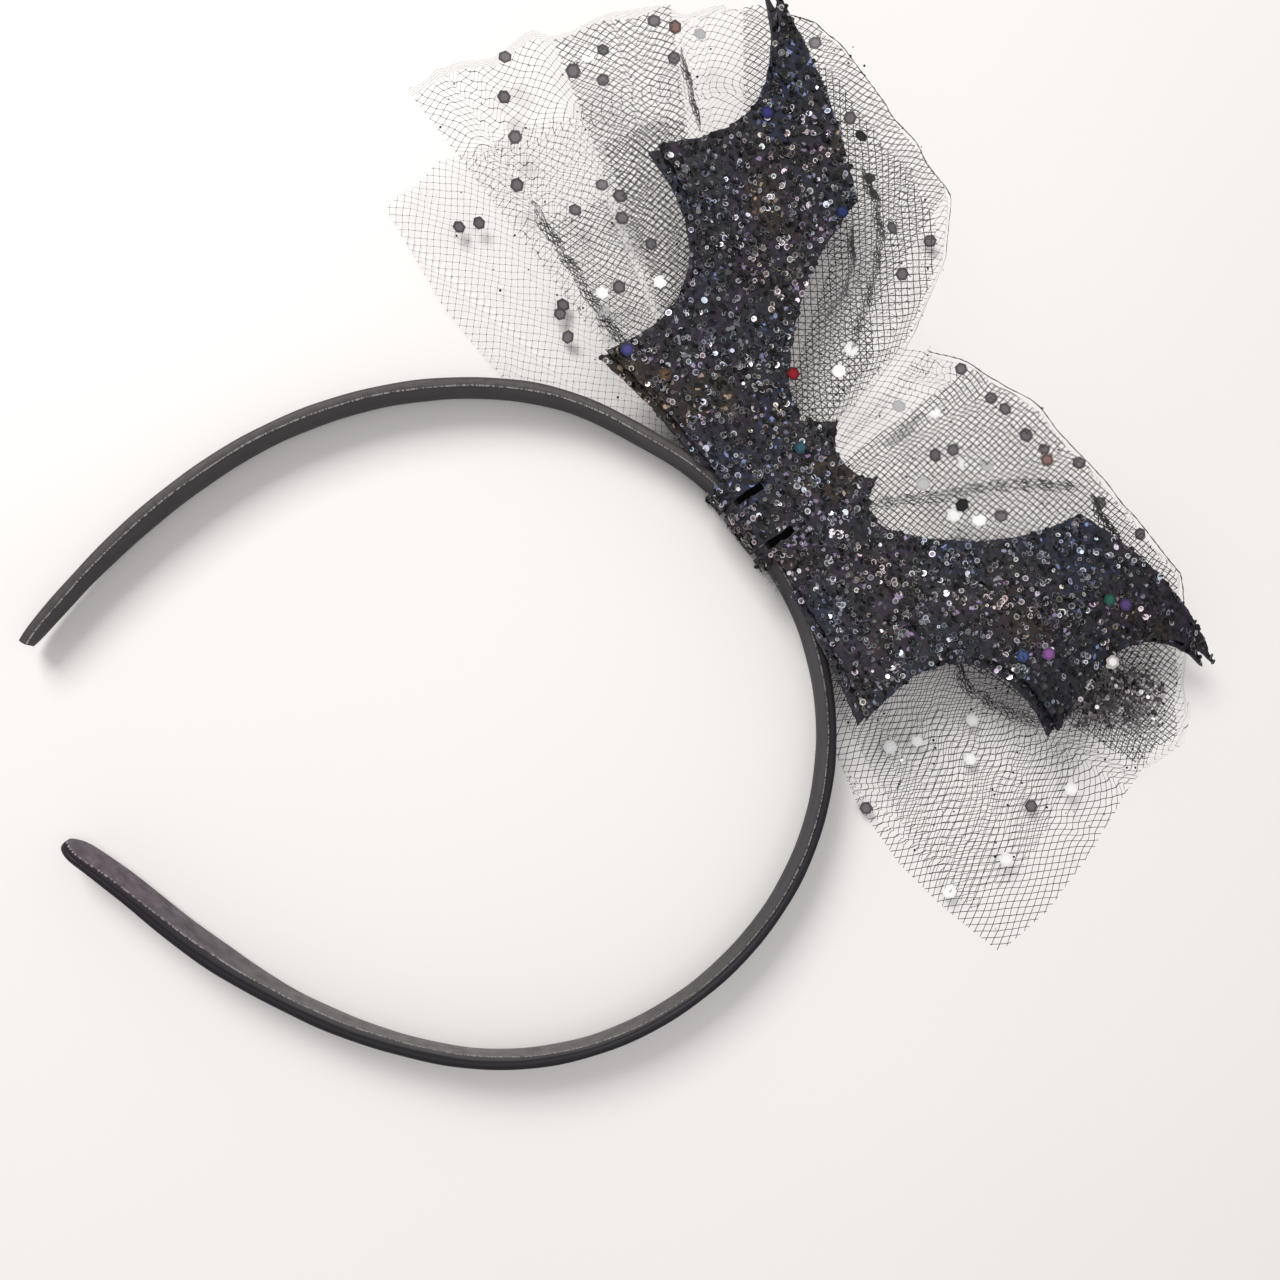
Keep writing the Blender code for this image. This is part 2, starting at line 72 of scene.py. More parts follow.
# Light: a pale room, and a broad window far behind the top of the picture.
world = bpy.data.worlds.new("room")
bpy.context.scene.world = world
world.use_nodes = True
world.node_tree.nodes["Background"].inputs["Color"].default_value = (0.975, 0.965, 1.0, 1)
world.node_tree.nodes["Background"].inputs["Strength"].default_value = 0.50


def area_light(name, place, size, power, colour):
    """A square softbox at a place, aimed at the knot."""
    lamp = bpy.data.lights.new(name, "AREA")
    lamp.size, lamp.energy, lamp.color = size, power, colour
    obj = bpy.data.objects.new(name, lamp)
    bpy.context.scene.collection.objects.link(obj)
    obj.location = Vector(KNOT) + Vector(place)
    obj.rotation_euler = (Vector(KNOT) - obj.location).to_track_quat("-Z", "Y").to_euler()


area_light("window", (-0.43, 0.57, 0.72), 0.44, 7.7, (1.0, 0.985, 0.965))
area_light("ceiling", (0.10, -0.1, 0.9), 0.7, 1.8, (1.0, 0.98, 0.96))
bpy.context.scene.view_settings.view_transform = "Standard"


class Value:
    """A number that varies over a surface. Each operator adds its Math node."""

    def __init__(self, paint, socket):
        self.paint, self.socket = paint, socket

    def math(self, operation, *inputs):
        return self.paint.add("ShaderNodeMath", {"operation": operation}, dict(enumerate(inputs)))

    def __add__(self, other):
        return self.math("ADD", self, other)

    def __sub__(self, other):
        return self.math("SUBTRACT", self, other)

    def __rsub__(self, other):
        return self.math("SUBTRACT", other, self)

    def __mul__(self, other):
        return self.math("MULTIPLY", self, other)

    def __lt__(self, other):
        return self.math("LESS_THAN", self, other)

    def __gt__(self, other):
        return self.math("GREATER_THAN", self, other)

    def __abs__(self):
        return self.math("ABSOLUTE", self)

    def __mod__(self, other):
        return self.math("FLOORED_MODULO", self, other)

    __radd__ = __add__
    __rmul__ = __mul__


class Paint:
    """A material with one Principled shader, and its nodes."""

    def __init__(self, name, **inputs):
        self.material = bpy.data.materials.new(name)
        self.material.use_nodes = True
        self.tree = self.material.node_tree
        self.shader = self.tree.nodes["Principled BSDF"]
        self.feed(**inputs)

    def connect(self, socket, value):
        if isinstance(value, Value):
            self.tree.links.new(value.socket, socket)
        else:
            socket.default_value = value

    def add(self, kind, settings=None, sockets=None, out=0):
        """A node of that type with its settings and its inputs, by index or name."""
        node = self.tree.nodes.new(kind)
        for key, setting in (settings or {}).items():
            if key == "stops":
                ramp = node.color_ramp.elements
                while len(ramp) < len(setting):
                    ramp.new(0.5)
                for element, (at, colour) in zip(ramp, setting):
                    element.position, element.color = at, (*colour, 1)
            else:
                setattr(node, key, setting)
        for key, value in (sockets or {}).items():
            self.connect(node.inputs[key], value)
        return Value(self, node.outputs[out])

    def feed(self, **inputs):
        """Sets or links the shader's inputs, by name."""
        for key, value in inputs.items():
            self.connect(self.shader.inputs[key.replace("_", " ")], value)

    def place(self):
        """Each point's place in the object's own coordinates."""
        return self.add("ShaderNodeTexCoord", out=3)

    def mapped(self, place, scale, turn=0.0):
        """A place scaled along its axes, and turned about the third."""
        sockets = {"Vector": place, "Rotation": (0, 0, turn), "Scale": scale}
        return self.add("ShaderNodeMapping", {}, sockets)

    def noise(self, place, scale, detail, roughness=0.5, out=0):
        """Noise over a place: a number, or a colour from output 1."""
        sockets = {"Vector": place, "Scale": scale, "Detail": detail, "Roughness": roughness}
        return self.add("ShaderNodeTexNoise", {}, sockets, out)

    def ramp(self, value, *stops):
        """The colour of a value, from stops of a value and its colour."""
        return self.add("ShaderNodeValToRGB", {"stops": stops}, {"Fac": value})

    def red(self, colour):
        """A colour's first part, as a number."""
        return self.add("ShaderNodeSeparateColor", {}, {"Color": colour})

    def level(self, value, *stops):
        """The number of a value, from stops of a value and its number."""
        return self.red(self.ramp(value, *((at, (number,) * 3) for at, number in stops)))

    def vector(self, operation, *inputs, out=0):
        """A Vector Math node."""
        return self.add("ShaderNodeVectorMath", {"operation": operation}, dict(enumerate(inputs)), out)

    def shaken(self, vector, colour, amount):
        """A vector moved by as much as half of amount along each axis, as a colour says."""
        off = self.vector("SUBTRACT", colour, (0.5, 0.5, 0.5))
        return self.vector("ADD", vector, self.vector("MULTIPLY", off, (amount,) * 3))

    def bump(self, strength, distance, height):
        """The normal of a surface that rises and falls by a height."""
        sockets = {"Strength": strength, "Distance": distance, "Height": height}
        return self.add("ShaderNodeBump", {}, sockets)


# Table: the pale smooth board that the headband lies on. It fills the view, and its white
# is faintly mottled.
TABLE_SIDE = 3.0
table_paint = Paint("table", Roughness=0.55)
table_tone = table_paint.noise(table_paint.place(), 6.0, 2.0)
table_paint.feed(
    Base_Color=table_paint.ramp(table_tone, (0.3, (0.81, 0.785, 0.765)), (0.7, (0.825, 0.803, 0.785)))
)
table_mesh = bpy.data.meshes.new("table")
half = TABLE_SIDE / 2
table_mesh.from_pydata(
    [(-half, -half, 0), (half, -half, 0), (half, half, 0), (-half, half, 0)], [], [(0, 1, 2, 3)]
)
table_mesh.materials.append(table_paint.material)
table = bpy.data.objects.new("table", table_mesh)
bpy.context.scene.collection.objects.link(table)

# Hoop: a satin-covered strip bent to a C, its ends narrower and the lower one twisted.
# The same line as the CAD's, with rounder edges and the ribbon's slight unevenness.
BAND_LENGTH = 371 * MM
BAND_WIDTH = 9.5 * MM
BAND_THICK = 1.6 * MM
BAND_ROUND = 0.74 * MM
TIP_ROUND = 0.85  # how much of the lower end's height is rounded off
UPPER_END_FULL = 0.45  # how much less the upper end's height is
BAND_END_WIDTH = 6.4 * MM
BAND_END_THICK = 1.2 * MM
BAND_TAPER = 34 * MM
BAND_TIP = 4 * MM
KNOT_SHARE = 0.589
RIBBON_WAVE = 0.05 * MM
BAND_HEADINGS = (  # share_of_length, heading_deg
    (0.00, -34.4),
    (0.05, -40.8),
    (0.12, -30.3),
    (0.20, -13.1),
    (0.30, 25.0),
    (0.38, 52.7),
    (0.46, 83.1),
    (0.52, 105.5),
    (0.57, 125.5),
    (0.60, 127.0),
    (0.64, 149.0),
    (0.68, 154.0),
    (0.73, 175.9),
    (0.80, 195.5),
    (0.88, 216.3),
    (0.95, 228.4),
    (1.00, 234.0),
)
BAND_LEAN = (  # share_of_length, lean_deg
    (0.00, 19.0),
    (0.06, 14.0),
    (0.14, 3.0),
    (0.20, 0.0),
    (1.00, 0.0),
)


def column(table_rows, at, col, smooth=False):
    """A table's column at values of its first column. smooth eases in and out of each row."""
    rows = np.array(sorted(table_rows), float)
    first = rows[:, 0]
    i = np.clip(np.searchsorted(first, at) - 1, 0, len(rows) - 2)
    share = np.clip((at - first[i]) / (first[i + 1] - first[i]), 0, 1)
    if smooth:
        share = share * share * (3 - 2 * share)
    return rows[i, col] * (1 - share) + rows[i + 1, col] * share


def new_piece(name, points, faces, paint, smooth=True):
    """An object at the origin, from an array of points that start at the knot."""
    mesh = bpy.data.meshes.new(name)
    mesh.from_pydata((points.reshape(-1, 3) + KNOT).tolist(), [], faces)
    mesh.materials.append(paint.material)
    if smooth:
        mesh.shade_smooth()
    obj = bpy.data.objects.new(name, mesh)
    bpy.context.scene.collection.objects.link(obj)
    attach(obj, "root")
    return obj


def face_out(obj):
    """Turns a closed piece's faces outwards."""
    work = bmesh.new()
    work.from_mesh(obj.data)
    bmesh.ops.recalc_face_normals(work, faces=work.faces)
    work.to_mesh(obj.data)
    work.free()


def set_uv(obj, uv):
    """A UV map from an array with one (u, v) for each point."""
    layer = obj.data.uv_layers.new(name="flat")
    corner = np.zeros(len(obj.data.loops), np.int32)
    obj.data.loops.foreach_get("vertex_index", corner)
    layer.data.foreach_set("uv", uv.reshape(-1, 2).astype(np.float32)[corner].ravel())


def grid_faces(rows, across, wrap=False):
    """Quads over rows of across points each; wrap joins the last point to the first."""
    last = across if wrap else across - 1
    i, j = np.meshgrid(np.arange(rows - 1), np.arange(last), indexing="ij")
    here, beside = i * across + j, i * across + (j + 1) % across
    return np.stack([here, beside, beside + across, here + across], -1).reshape(-1, 4).tolist()


def tube_faces(rings, around, count=1):
    """The faces of closed tubes: quads from ring to ring of points, and a cap at each end."""
    ends = [list(range(around))[::-1], list(range((rings - 1) * around, rings * around))]
    pattern = ends + grid_faces(rings, around, wrap=True)
    return [[rings * around * n + k for k in face] for n in range(count) for face in pattern]


def unit(vectors):
    """The same directions, each of length one."""
    return vectors / np.linalg.norm(vectors, axis=-1, keepdims=True)


def at_height(plan, height):
    """Points from plan points and their heights."""
    return np.concatenate([plan, height[..., None]], -1)


def distance_along(points):
    """How far each point is along its row of points."""
    steps = np.linalg.norm(np.diff(points, axis=-2), axis=-1)
    return np.concatenate([np.zeros((*steps.shape[:-1], 1)), np.cumsum(steps, axis=-1)], -1)


along = np.linspace(0, BAND_LENGTH, 1483)
heading = np.radians(column(BAND_HEADINGS, along / BAND_LENGTH, 1))
middle = (heading[1:] + heading[:-1]) / 2
line = np.zeros((len(along), 2))
line[1:] = np.cumsum(np.stack([np.cos(middle), np.sin(middle)], 1), axis=0) * along[1]
out = np.stack([np.sin(heading), -np.cos(heading)], axis=1)
knot = int(round(KNOT_SHARE * (len(along) - 1)))
line += out[knot] * BAND_THICK / 2 - line[knot]
knot_along = KNOT_SHARE * BAND_LENGTH


def strip_point(s, outward, up):
    """Points beside the hoop's line, at s along it, outward from it and at the height up."""
    at = np.stack([np.interp(s, along, line[:, k]) for k in (0, 1)], -1)
    side = np.stack([np.interp(s, along, out[:, k]) for k in (0, 1)], -1)
    return at_height(at + side * outward[..., None], up)


def rounded_section(deep, high, radius, steps=5):
    """A closed outline of half-sizes deep and high whose corners are arcs of that radius.

    Three more points stand on the flat between the two corners on the inner side.
    """
    deep, high, radius = deep[:, None], high[:, None], radius[:, None]
    quarter = np.linspace(0, math.pi / 2, steps)
    points = []
    for turn, (sx, sz) in enumerate(((1, 1), (-1, 1), (-1, -1), (1, -1))):
        a = quarter + turn * math.pi / 2
        x = sx * (deep - radius) + radius * np.cos(a)
        points.append(np.stack([x, sz * (high - radius) + radius * np.sin(a)], -1))
        if turn == 1:
            top = points[-1][:, -1:]
            t = np.linspace(0, 1, 5)[1:-1, None]
            points.append(top * (1 - t) + top * (1, -1) * t)
    return np.concatenate(points, axis=1)


ease = np.linspace(0, 1, 9) ** 2 * BAND_TIP
stations = np.concatenate(
    [ease[:-1], np.linspace(BAND_TIP, BAND_LENGTH - BAND_TIP, 620), BAND_LENGTH - ease[:-1][::-1]]
)
end = np.minimum(stations, BAND_LENGTH - stations)
full = np.clip(end / BAND_TAPER, 0, 1) ** 0.7
round_off = np.where(stations > BAND_LENGTH / 2, TIP_ROUND - UPPER_END_FULL, TIP_ROUND)
tip = np.sqrt(1 - (1 - np.minimum(end / BAND_TIP, 1)) ** 2 * round_off)
high = (BAND_END_WIDTH + (BAND_WIDTH - BAND_END_WIDTH) * full) * tip / 2
deep = (BAND_END_THICK + (BAND_THICK - BAND_END_THICK) * full) / 2
section = rounded_section(deep, high, np.minimum(BAND_ROUND, deep * 0.93))
wave = RIBBON_WAVE * (
    np.sin(stations / (3.1 * MM))[:, None] * np.cos(section[..., 1] / (1.3 * MM))
    + 0.7 * np.sin(stations / (1.7 * MM) + 2)[:, None]
)
lean = np.radians(column(BAND_LEAN, stations / BAND_LENGTH, 1, smooth=True))[:, None]
across = section[..., 0] * np.cos(lean) + section[..., 1] * np.sin(lean)
up = BAND_WIDTH / 2 + section[..., 1] * np.cos(lean) - section[..., 0] * np.sin(lean)
across += np.sign(section[..., 0]) * wave * 0.5
band_points = strip_point(stations[:, None] + across * 0, across, np.maximum(up, 0.02 * MM))
band_faces = tube_faces(len(stations), band_points.shape[1])

SEAM = 2.35 * MM  # round the section from the outer face: where the edge meets the inner face
LOWER_SEAM = 2.6 * MM  # how much further round it is on the lower branch
# how wide the painted highlight is, along the line where the edge meets the inner face
SEAM_HIGHLIGHT_WIDE = 0.27 * MM
SEAM_WANDER = 0.7 * MM
satin = Paint("satin", Roughness=0.45, Specular_IOR_Level=0.17, Sheen_Weight=0.03, Sheen_Roughness=0.4)
satin_uv = satin.add("ShaderNodeUVMap", {"uv_map": "flat"})
satin_along = satin.add("ShaderNodeSeparateXYZ", {}, {"Vector": satin_uv})
satin_down = satin.add("ShaderNodeSeparateXYZ", {}, {"Vector": satin_uv}, out=1)
ticks = satin.noise(satin.mapped(satin_uv, (2300, 330, 1), 0.35), 1.0, 2.0, 0.6)
cloudy = satin.noise(satin_uv, 90.0, 4.0)
mottle = satin.noise(satin_uv, 380.0, 4.0, 0.6)
weave = satin.noise(satin_uv, 2600.0, 1.0)
streaks = satin.noise(satin.mapped(satin_uv, (500, 2600, 1)), 1.0, 3.0)
# The colours below paint the window's light: each branch's top edge and inner face are lighter or darker
# as the light falls on them.
branch = satin_along * (1 / BAND_LENGTH)
upper_branch_light = satin.level(branch, (0.55, 0), (0.66, 1))
lower_branch_light = satin.level(branch, (0.22, 1), (0.40, 0))
wider_dark_edge = satin.level(branch, (0.0, 0), (0.07, 0.7), (0.14, 1), (0.22, 1), (0.40, 0))
seam_at = satin_down - SEAM - wider_dark_edge * LOWER_SEAM + (cloudy - 0.5) * SEAM_WANDER
is_edge = seam_at < 0.0
# where the painted highlight lies
on_seam_highlight = abs(seam_at) < SEAM_HIGHLIGHT_WIDE
sheen_across_edge = satin_down * (1 / SEAM)
# The inner face's painted light: a little lighter on the upper branch, and much lighter on the lower
# branch, which faces the window. Its own mottling and streaks show in that painted light.
face_tone_and_light = 0.002 + cloudy * 0.014 + mottle * 0.008 + upper_branch_light * 0.016
face_tone_and_light = face_tone_and_light + lower_branch_light * (streaks * 0.09 + mottle * 0.21 - 0.055)
# A painted sheen on the upper branch's top edge, growing toward the inner face. Elsewhere the edge stays
# dark, and on the lower branch that dark edge reaches further round.
edge_tone_and_sheen = 0.014 + upper_branch_light * sheen_across_edge * (0.03 + streaks * 0.14 + ticks * 0.07)
# A painted highlight along the line where the edge meets the inner face, in short ticks: patchy on the
# lower branch and brightest on the upper.
seam_highlight = 0.05 + ticks * (0.24 + mottle * mottle * lower_branch_light * 0.6 + upper_branch_light * 0.55)
edge_or_face = face_tone_and_light + is_edge * (edge_tone_and_sheen - face_tone_and_light)
satin_tone = edge_or_face + on_seam_highlight * (seam_highlight - edge_or_face) * (ticks > 0.48)
satin_colour = satin.ramp(
    satin_tone, (0.0, (0.0, 0.0, 0.004)), (0.08, (0.083, 0.076, 0.074)), (0.5, (0.500, 0.475, 0.470))
)
end_tint = satin.ramp(branch, (0.05, (0.96, 0.83, 1.0)), (0.13, (1, 1, 1)))
satin.feed(
    Base_Color=satin.vector("MULTIPLY", satin_colour, end_tint),
    Roughness=0.34 + cloudy * 0.24,
    Normal=satin.bump(0.4, 0.0001, ticks * is_edge + weave * 0.3),
)
band = new_piece("satin_band", band_points, band_faces, satin)
face_out(band)
girth = distance_along(section)
set_uv(band, np.stack([stations[:, None] + girth * 0, girth], -1))
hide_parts("band")

# Bat: front and back glitter cloths, cut flat, bent along the wings and folded over the
# hoop. The u axis points along the hoop to its lower end, the v axis out through the ears.
BAT_TURN_DEG = 35.0
BAT_WALL = 0.9 * MM
GAP = 0.3 * MM
WING_SPAN = 161 * MM
BAT_HEIGHT = 61 * MM
EAR_NOTCH_SHARE = 0.338
BODY_HALF = 11 * MM
FINGER_WIDTH = 8.4 * MM
SLIT_WIDTH = 1.3 * MM
SLIT_LENGTH = 5.5 * MM
LEFT_FINGER = 4.0 * MM
RIGHT_FINGER = 2.6 * MM
FOLD_RADIUS = 2.0 * MM
FINGER_FOOT = 0.9 * MM
BACK_SHIFT = 1.6 * MM
BACK_CLEAR = 1.2 * MM
EDGE_STEP = 1.1 * MM
CLOTH_PITCH = 1.5 * MM
CUT_NOISE = 0.12 * MM
GLITTER_RISE = 0.06 * MM
BAT_EDGE = (  # share_of_half_span, share_of_height, hollow_share_of_chord_to_next
    (0.503, -0.074, 0.310),
    (0.825, 0.405, 0.270),
    (1.000, 1.000, -0.040),
    (0.477, 0.846, 0.090),
    (0.222, 0.345, 0.300),
    (0.082, 0.405, 0.160),
)
LEFT_WING_SLOPE = (  # share_of_half_span, slope_deg
    (0.00, 0.0),
    (0.14, 0.0),
    (0.30, 6.0),
    (0.70, 5.0),
    (1.00, 1.0),
)
RIGHT_WING_SLOPE = (
    (0.00, 0.0),
    (0.14, 0.0),
    (0.30, 8.0),
    (0.45, 8.0),
    (0.60, 2.0),
    (0.80, -18.0),
    (1.00, -30.0),
)
RIGHT_WING_LEAN = 0.095  # toward the ears, as a share of the distance out from the hoop
FRONT_MIDDLE = BAND_WIDTH + 2 * GAP + 1.5 * BAT_WALL
U_AXIS = np.array([math.sin(math.radians(BAT_TURN_DEG)), -math.cos(math.radians(BAT_TURN_DEG))])
V_AXIS = np.array([-U_AXIS[1], U_AXIS[0]])


def fold_path():
    """Rows (distance, v, z) down a finger: round the hoop's rim, then to its inner face."""
    glued = GAP + BAT_WALL / 2
    points = [(0, FRONT_MIDDLE)]
    for a in np.radians(np.arange(7.5, 91, 7.5)):
        points.append((-FOLD_RADIUS * math.sin(a), FRONT_MIDDLE - FOLD_RADIUS * (1 - math.cos(a))))
    points.append((-(FOLD_RADIUS + glued) / 2, BAND_WIDTH * 0.8))
    points.append((-glued, BAND_WIDTH * 0.62))
    points.append((-glued, BAND_WIDTH * 0.35))
    points.append((-glued, FINGER_FOOT))
    points.append((-glued, FINGER_FOOT - 0.7 * MM))  # room for the rough cut's longest tooth
    points = np.array(points)
    return np.column_stack([distance_along(points), points])


FOLD = fold_path()
near_knot = np.abs(along - knot_along) < BODY_HALF * 2
inner_face = (line - out * BAND_THICK / 2)[near_knot]
inner_face = inner_face[np.argsort(inner_face @ U_AXIS)]
wing_at = np.linspace(0, WING_SPAN * 0.55, 400)


def wing_runs(slopes):
    """Rows (flat distance, run, rise) along a wing whose slope follows a table."""
    mid = (wing_at[1:] + wing_at[:-1]) / 2
    slope = np.radians(column(slopes, mid / (WING_SPAN / 2), 1))
    run = np.concatenate([[0], np.cumsum(np.cos(slope))]) * wing_at[1]
    rise = np.concatenate([[0], np.cumsum(np.sin(slope))]) * wing_at[1]
    return run, rise


LEFT_RUN, LEFT_RISE = wing_runs(LEFT_WING_SLOPE)
RIGHT_RUN, RIGHT_RISE = wing_runs(RIGHT_WING_SLOPE)


def bat_place(u, s):
    """The middle of the front cloth: flat (u, s) bent along the wings and round the hoop."""
    size = np.abs(u)
    run = np.where(u > 0, np.interp(size, wing_at, RIGHT_RUN), -np.interp(size, wing_at, LEFT_RUN))
    rise = np.where(u > 0, np.interp(size, wing_at, RIGHT_RISE), np.interp(size, wing_at, LEFT_RISE))
    onto_wing = np.clip(u / (2 * BODY_HALF), 0, 1)
    run = run - RIGHT_WING_LEAN * np.maximum(0, s) * onto_wing**2 * (3 - 2 * onto_wing)
    body = size < BODY_HALF
    held = np.where(body, np.clip(1 - s / (SLIT_LENGTH * 1.3), 0, 1), 0)
    folded = body & (s < 0)
    v = np.where(folded, np.interp(-s, FOLD[:, 0], FOLD[:, 1]), s)
    z = np.where(folded, np.interp(-s, FOLD[:, 0], FOLD[:, 2]), FRONT_MIDDLE + rise)
    v = v + held * np.interp(u, inner_face @ U_AXIS, inner_face @ V_AXIS)
    return at_height(run[..., None] * U_AXIS + v[..., None] * V_AXIS, z)


def bat_frame(u, s, depth=0.0):
    """Points of the bat's surface depth below its middle, and their upward normals."""
    e = 0.05 * MM
    along_u = bat_place(u + e, s) - bat_place(u - e, s)
    normal = unit(np.cross(along_u, bat_place(u, s + e) - bat_place(u, s - e)))
    return bat_place(u, s) - normal * depth, normal


def arc(start, end, hollow):
    """Points from start up to end, not end itself, bowed to the left by hollow of the chord."""
    start, end = np.array(start, float), np.array(end, float)
    chord = end - start
    left = np.array([-chord[1], chord[0]])
    t = np.linspace(0, 1, max(2, round(np.linalg.norm(chord) / EDGE_STEP)) + 1)[:-1, None]
    return start + chord * t + left * hollow * 4 * t * (1 - t)


def wing_edge():
    """The right half of the bat's cut, from its lower point to the notch between the ears."""
    corners = [(a * WING_SPAN / 2, b * BAT_HEIGHT, c) for a, b, c in BAT_EDGE]
    corners.append((0, EAR_NOTCH_SHARE * BAT_HEIGHT, 0))
    return np.concatenate([arc(p[:2], q[:2], p[2]) for p, q in zip(corners, corners[1:])])


def fingers():
    """The middle of the front cloth's lower edge, left to right, with slits and fingers."""
    slit = FINGER_WIDTH / 2 + SLIT_WIDTH
    spans = (
        (-slit - LEFT_FINGER, -slit),
        (-FINGER_WIDTH / 2, FINGER_WIDTH / 2),
        (slit, slit + RIGHT_FINGER),
    )
    down = np.concatenate([[0], -np.linspace(0.3 * MM, FOLD[-2, 0], 26)])
    slits = np.linspace(SLIT_LENGTH, 0, 6)[:-1]
    points = []
    for k, (left, right) in enumerate(spans):
        if k > 0:
            points += [(left, s) for s in slits]
        points += [(left, s) for s in down]
        points += [(x, down[-1]) for x in np.linspace(left, right, 5)[1:-1]]
        points += [(right, s) for s in down[::-1]]
        if k < len(spans) - 1:
            points += [(right, s) for s in slits[::-1]]
    return np.array(points)


def cut_outline(back):
    """The whole cut of the front cloth, or of the back one, counterclockwise."""
    edge = wing_edge()
    mirror = edge[::-1] * (-1, 1)
    notch = [(0, EAR_NOTCH_SHARE * BAT_HEIGHT)]
    if back:
        stop = BACK_SHIFT + BACK_CLEAR
        shoulder = 1.35 * BODY_HALF
        lower = [
            arc(mirror[-1], (-shoulder, 0), 0.03),
            arc((-shoulder, 0), (-BODY_HALF, stop), 0),
            arc((-BODY_HALF, stop), (BODY_HALF, stop), 0),
            arc((BODY_HALF, stop), (shoulder, 0), 0),
            arc((shoulder, 0), edge[0], 0.03),
        ]
    else:
        middle = fingers()
        lower = [arc(mirror[-1], middle[0], 0.03), middle[:-1], arc(middle[-1], edge[0], 0.03)]
    return np.concatenate([*lower, edge, notch, mirror[:-1]])


def inside(points, outline):
    """Which points lie inside a closed outline, and how far each is from it."""
    a, b = outline, np.roll(outline, -1, axis=0)
    hit = np.zeros(len(points), bool)
    near = np.full(len(points), 9.0)
    for p, q in zip(a, b):
        crosses = (p[1] > points[:, 1]) != (q[1] > points[:, 1])
        with np.errstate(divide="ignore", invalid="ignore"):
            x = (q[0] - p[0]) * (points[:, 1] - p[1]) / (q[1] - p[1]) + p[0]
        hit ^= crosses & (points[:, 0] < x)
        t = np.clip((points - p) @ (q - p) / max((q - p) @ (q - p), 1e-12), 0, 1)
        near = np.minimum(near, np.linalg.norm(points - p - t[:, None] * (q - p), axis=1))
    return hit, near


def cut_cloth(name, outline, shift, depth, paint, draws):
    """A closed wall from a flat cut, laid along the bat's surface depth below its middle.

    Its faces rise and fall a little, as glued glitter does, and its edge is a rough cut.
    """
    outline = outline + draws.normal(0, CUT_NOISE, outline.shape)
    low, top = outline.min(0), outline.max(0)
    x, y = np.meshgrid(np.arange(low[0], top[0], CLOTH_PITCH), np.arange(low[1], top[1], CLOTH_PITCH))
    dots = np.stack([x, y], -1).reshape(-1, 2) + draws.uniform(-0.3, 0.3, (x.size, 2)) * CLOTH_PITCH
    hit, near = inside(dots, outline)
    dots = dots[hit & (near > CLOTH_PITCH * 0.45)]
    loop = [Vector(p) for p in outline.tolist()]
    flat, _, tris, *_ = geometry.delaunay_2d_cdt(
        loop + [Vector(p) for p in dots.tolist()], [], [list(range(len(loop)))], 1, 1e-7
    )
    flat = np.array([p[:] for p in flat])
    mid, normal = bat_frame(flat[:, 0], flat[:, 1] + shift, depth)
    rough = draws.uniform(-1, 1, (len(flat), 1)) * GLITTER_RISE
    upper = mid + normal * (BAT_WALL / 2 - GLITTER_RISE + rough)
    lower = mid - normal * BAT_WALL / 2
    base = len(flat)
    sides = {(t[k], t[(k + 1) % 3]) for t in tris for k in range(3)}
    faces = [list(t) for t in tris] + [[base + k for k in reversed(t)] for t in tris]
    faces += [[b, a, base + a, base + b] for a, b in sides if (b, a) not in sides]
    obj = new_piece(name, np.concatenate([upper, lower]), faces, paint)
    face_out(obj)
    obj.data.set_sharp_from_angle(angle=math.radians(55))
    return obj


glitter = Paint("glitter_cloth", Roughness=0.4, Specular_IOR_Level=0.3)
glitter_at = glitter.place()
cells = {"Vector": glitter_at, "Scale": 1500.0, "Randomness": 1.0}
grain = glitter.add("ShaderNodeTexVoronoi", {"feature": "F1"}, cells, out=1)
grain_value = glitter.red(grain)
patch = glitter.noise(glitter_at, 70.0, 1.0)
turned = glitter.shaken(glitter.add("ShaderNodeNewGeometry", out=1), grain, 0.55)
grain_colour = glitter.ramp(
    grain_value,
    (0.0, (0.006, 0.005, 0.007)),
    (0.60, (0.014, 0.013, 0.016)),
    (0.93, (0.034, 0.032, 0.038)),
    (0.99, (0.30, 0.30, 0.33)),
)
tint = glitter.ramp(
    patch,
    (0.36, (0.75, 0.95, 1.55)),
    (0.47, (1.0, 1.0, 1.0)),
    (0.56, (1.25, 0.90, 1.45)),
    (0.66, (1.5, 1.15, 0.75)),
)
multiply = {"data_type": "RGBA", "blend_type": "MULTIPLY"}
glitter.feed(
    Base_Color=glitter.add("ShaderNodeMix", multiply, {0: 1.0, 6: grain_colour, 7: tint}, out=2),
    Roughness=0.45 + grain_value * 0.3,
    Normal=glitter.vector("NORMALIZE", turned),
)
draws = np.random.default_rng(31)
front_outline, back_outline = cut_outline(False), cut_outline(True)
bat_front = cut_cloth("glitter_front", front_outline, 0, 0, glitter, draws)
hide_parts("bat_front")
bat_back = cut_cloth("glitter_back", back_outline, -BACK_SHIFT, BAT_WALL + GAP, glitter, draws)
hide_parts("bat_back")

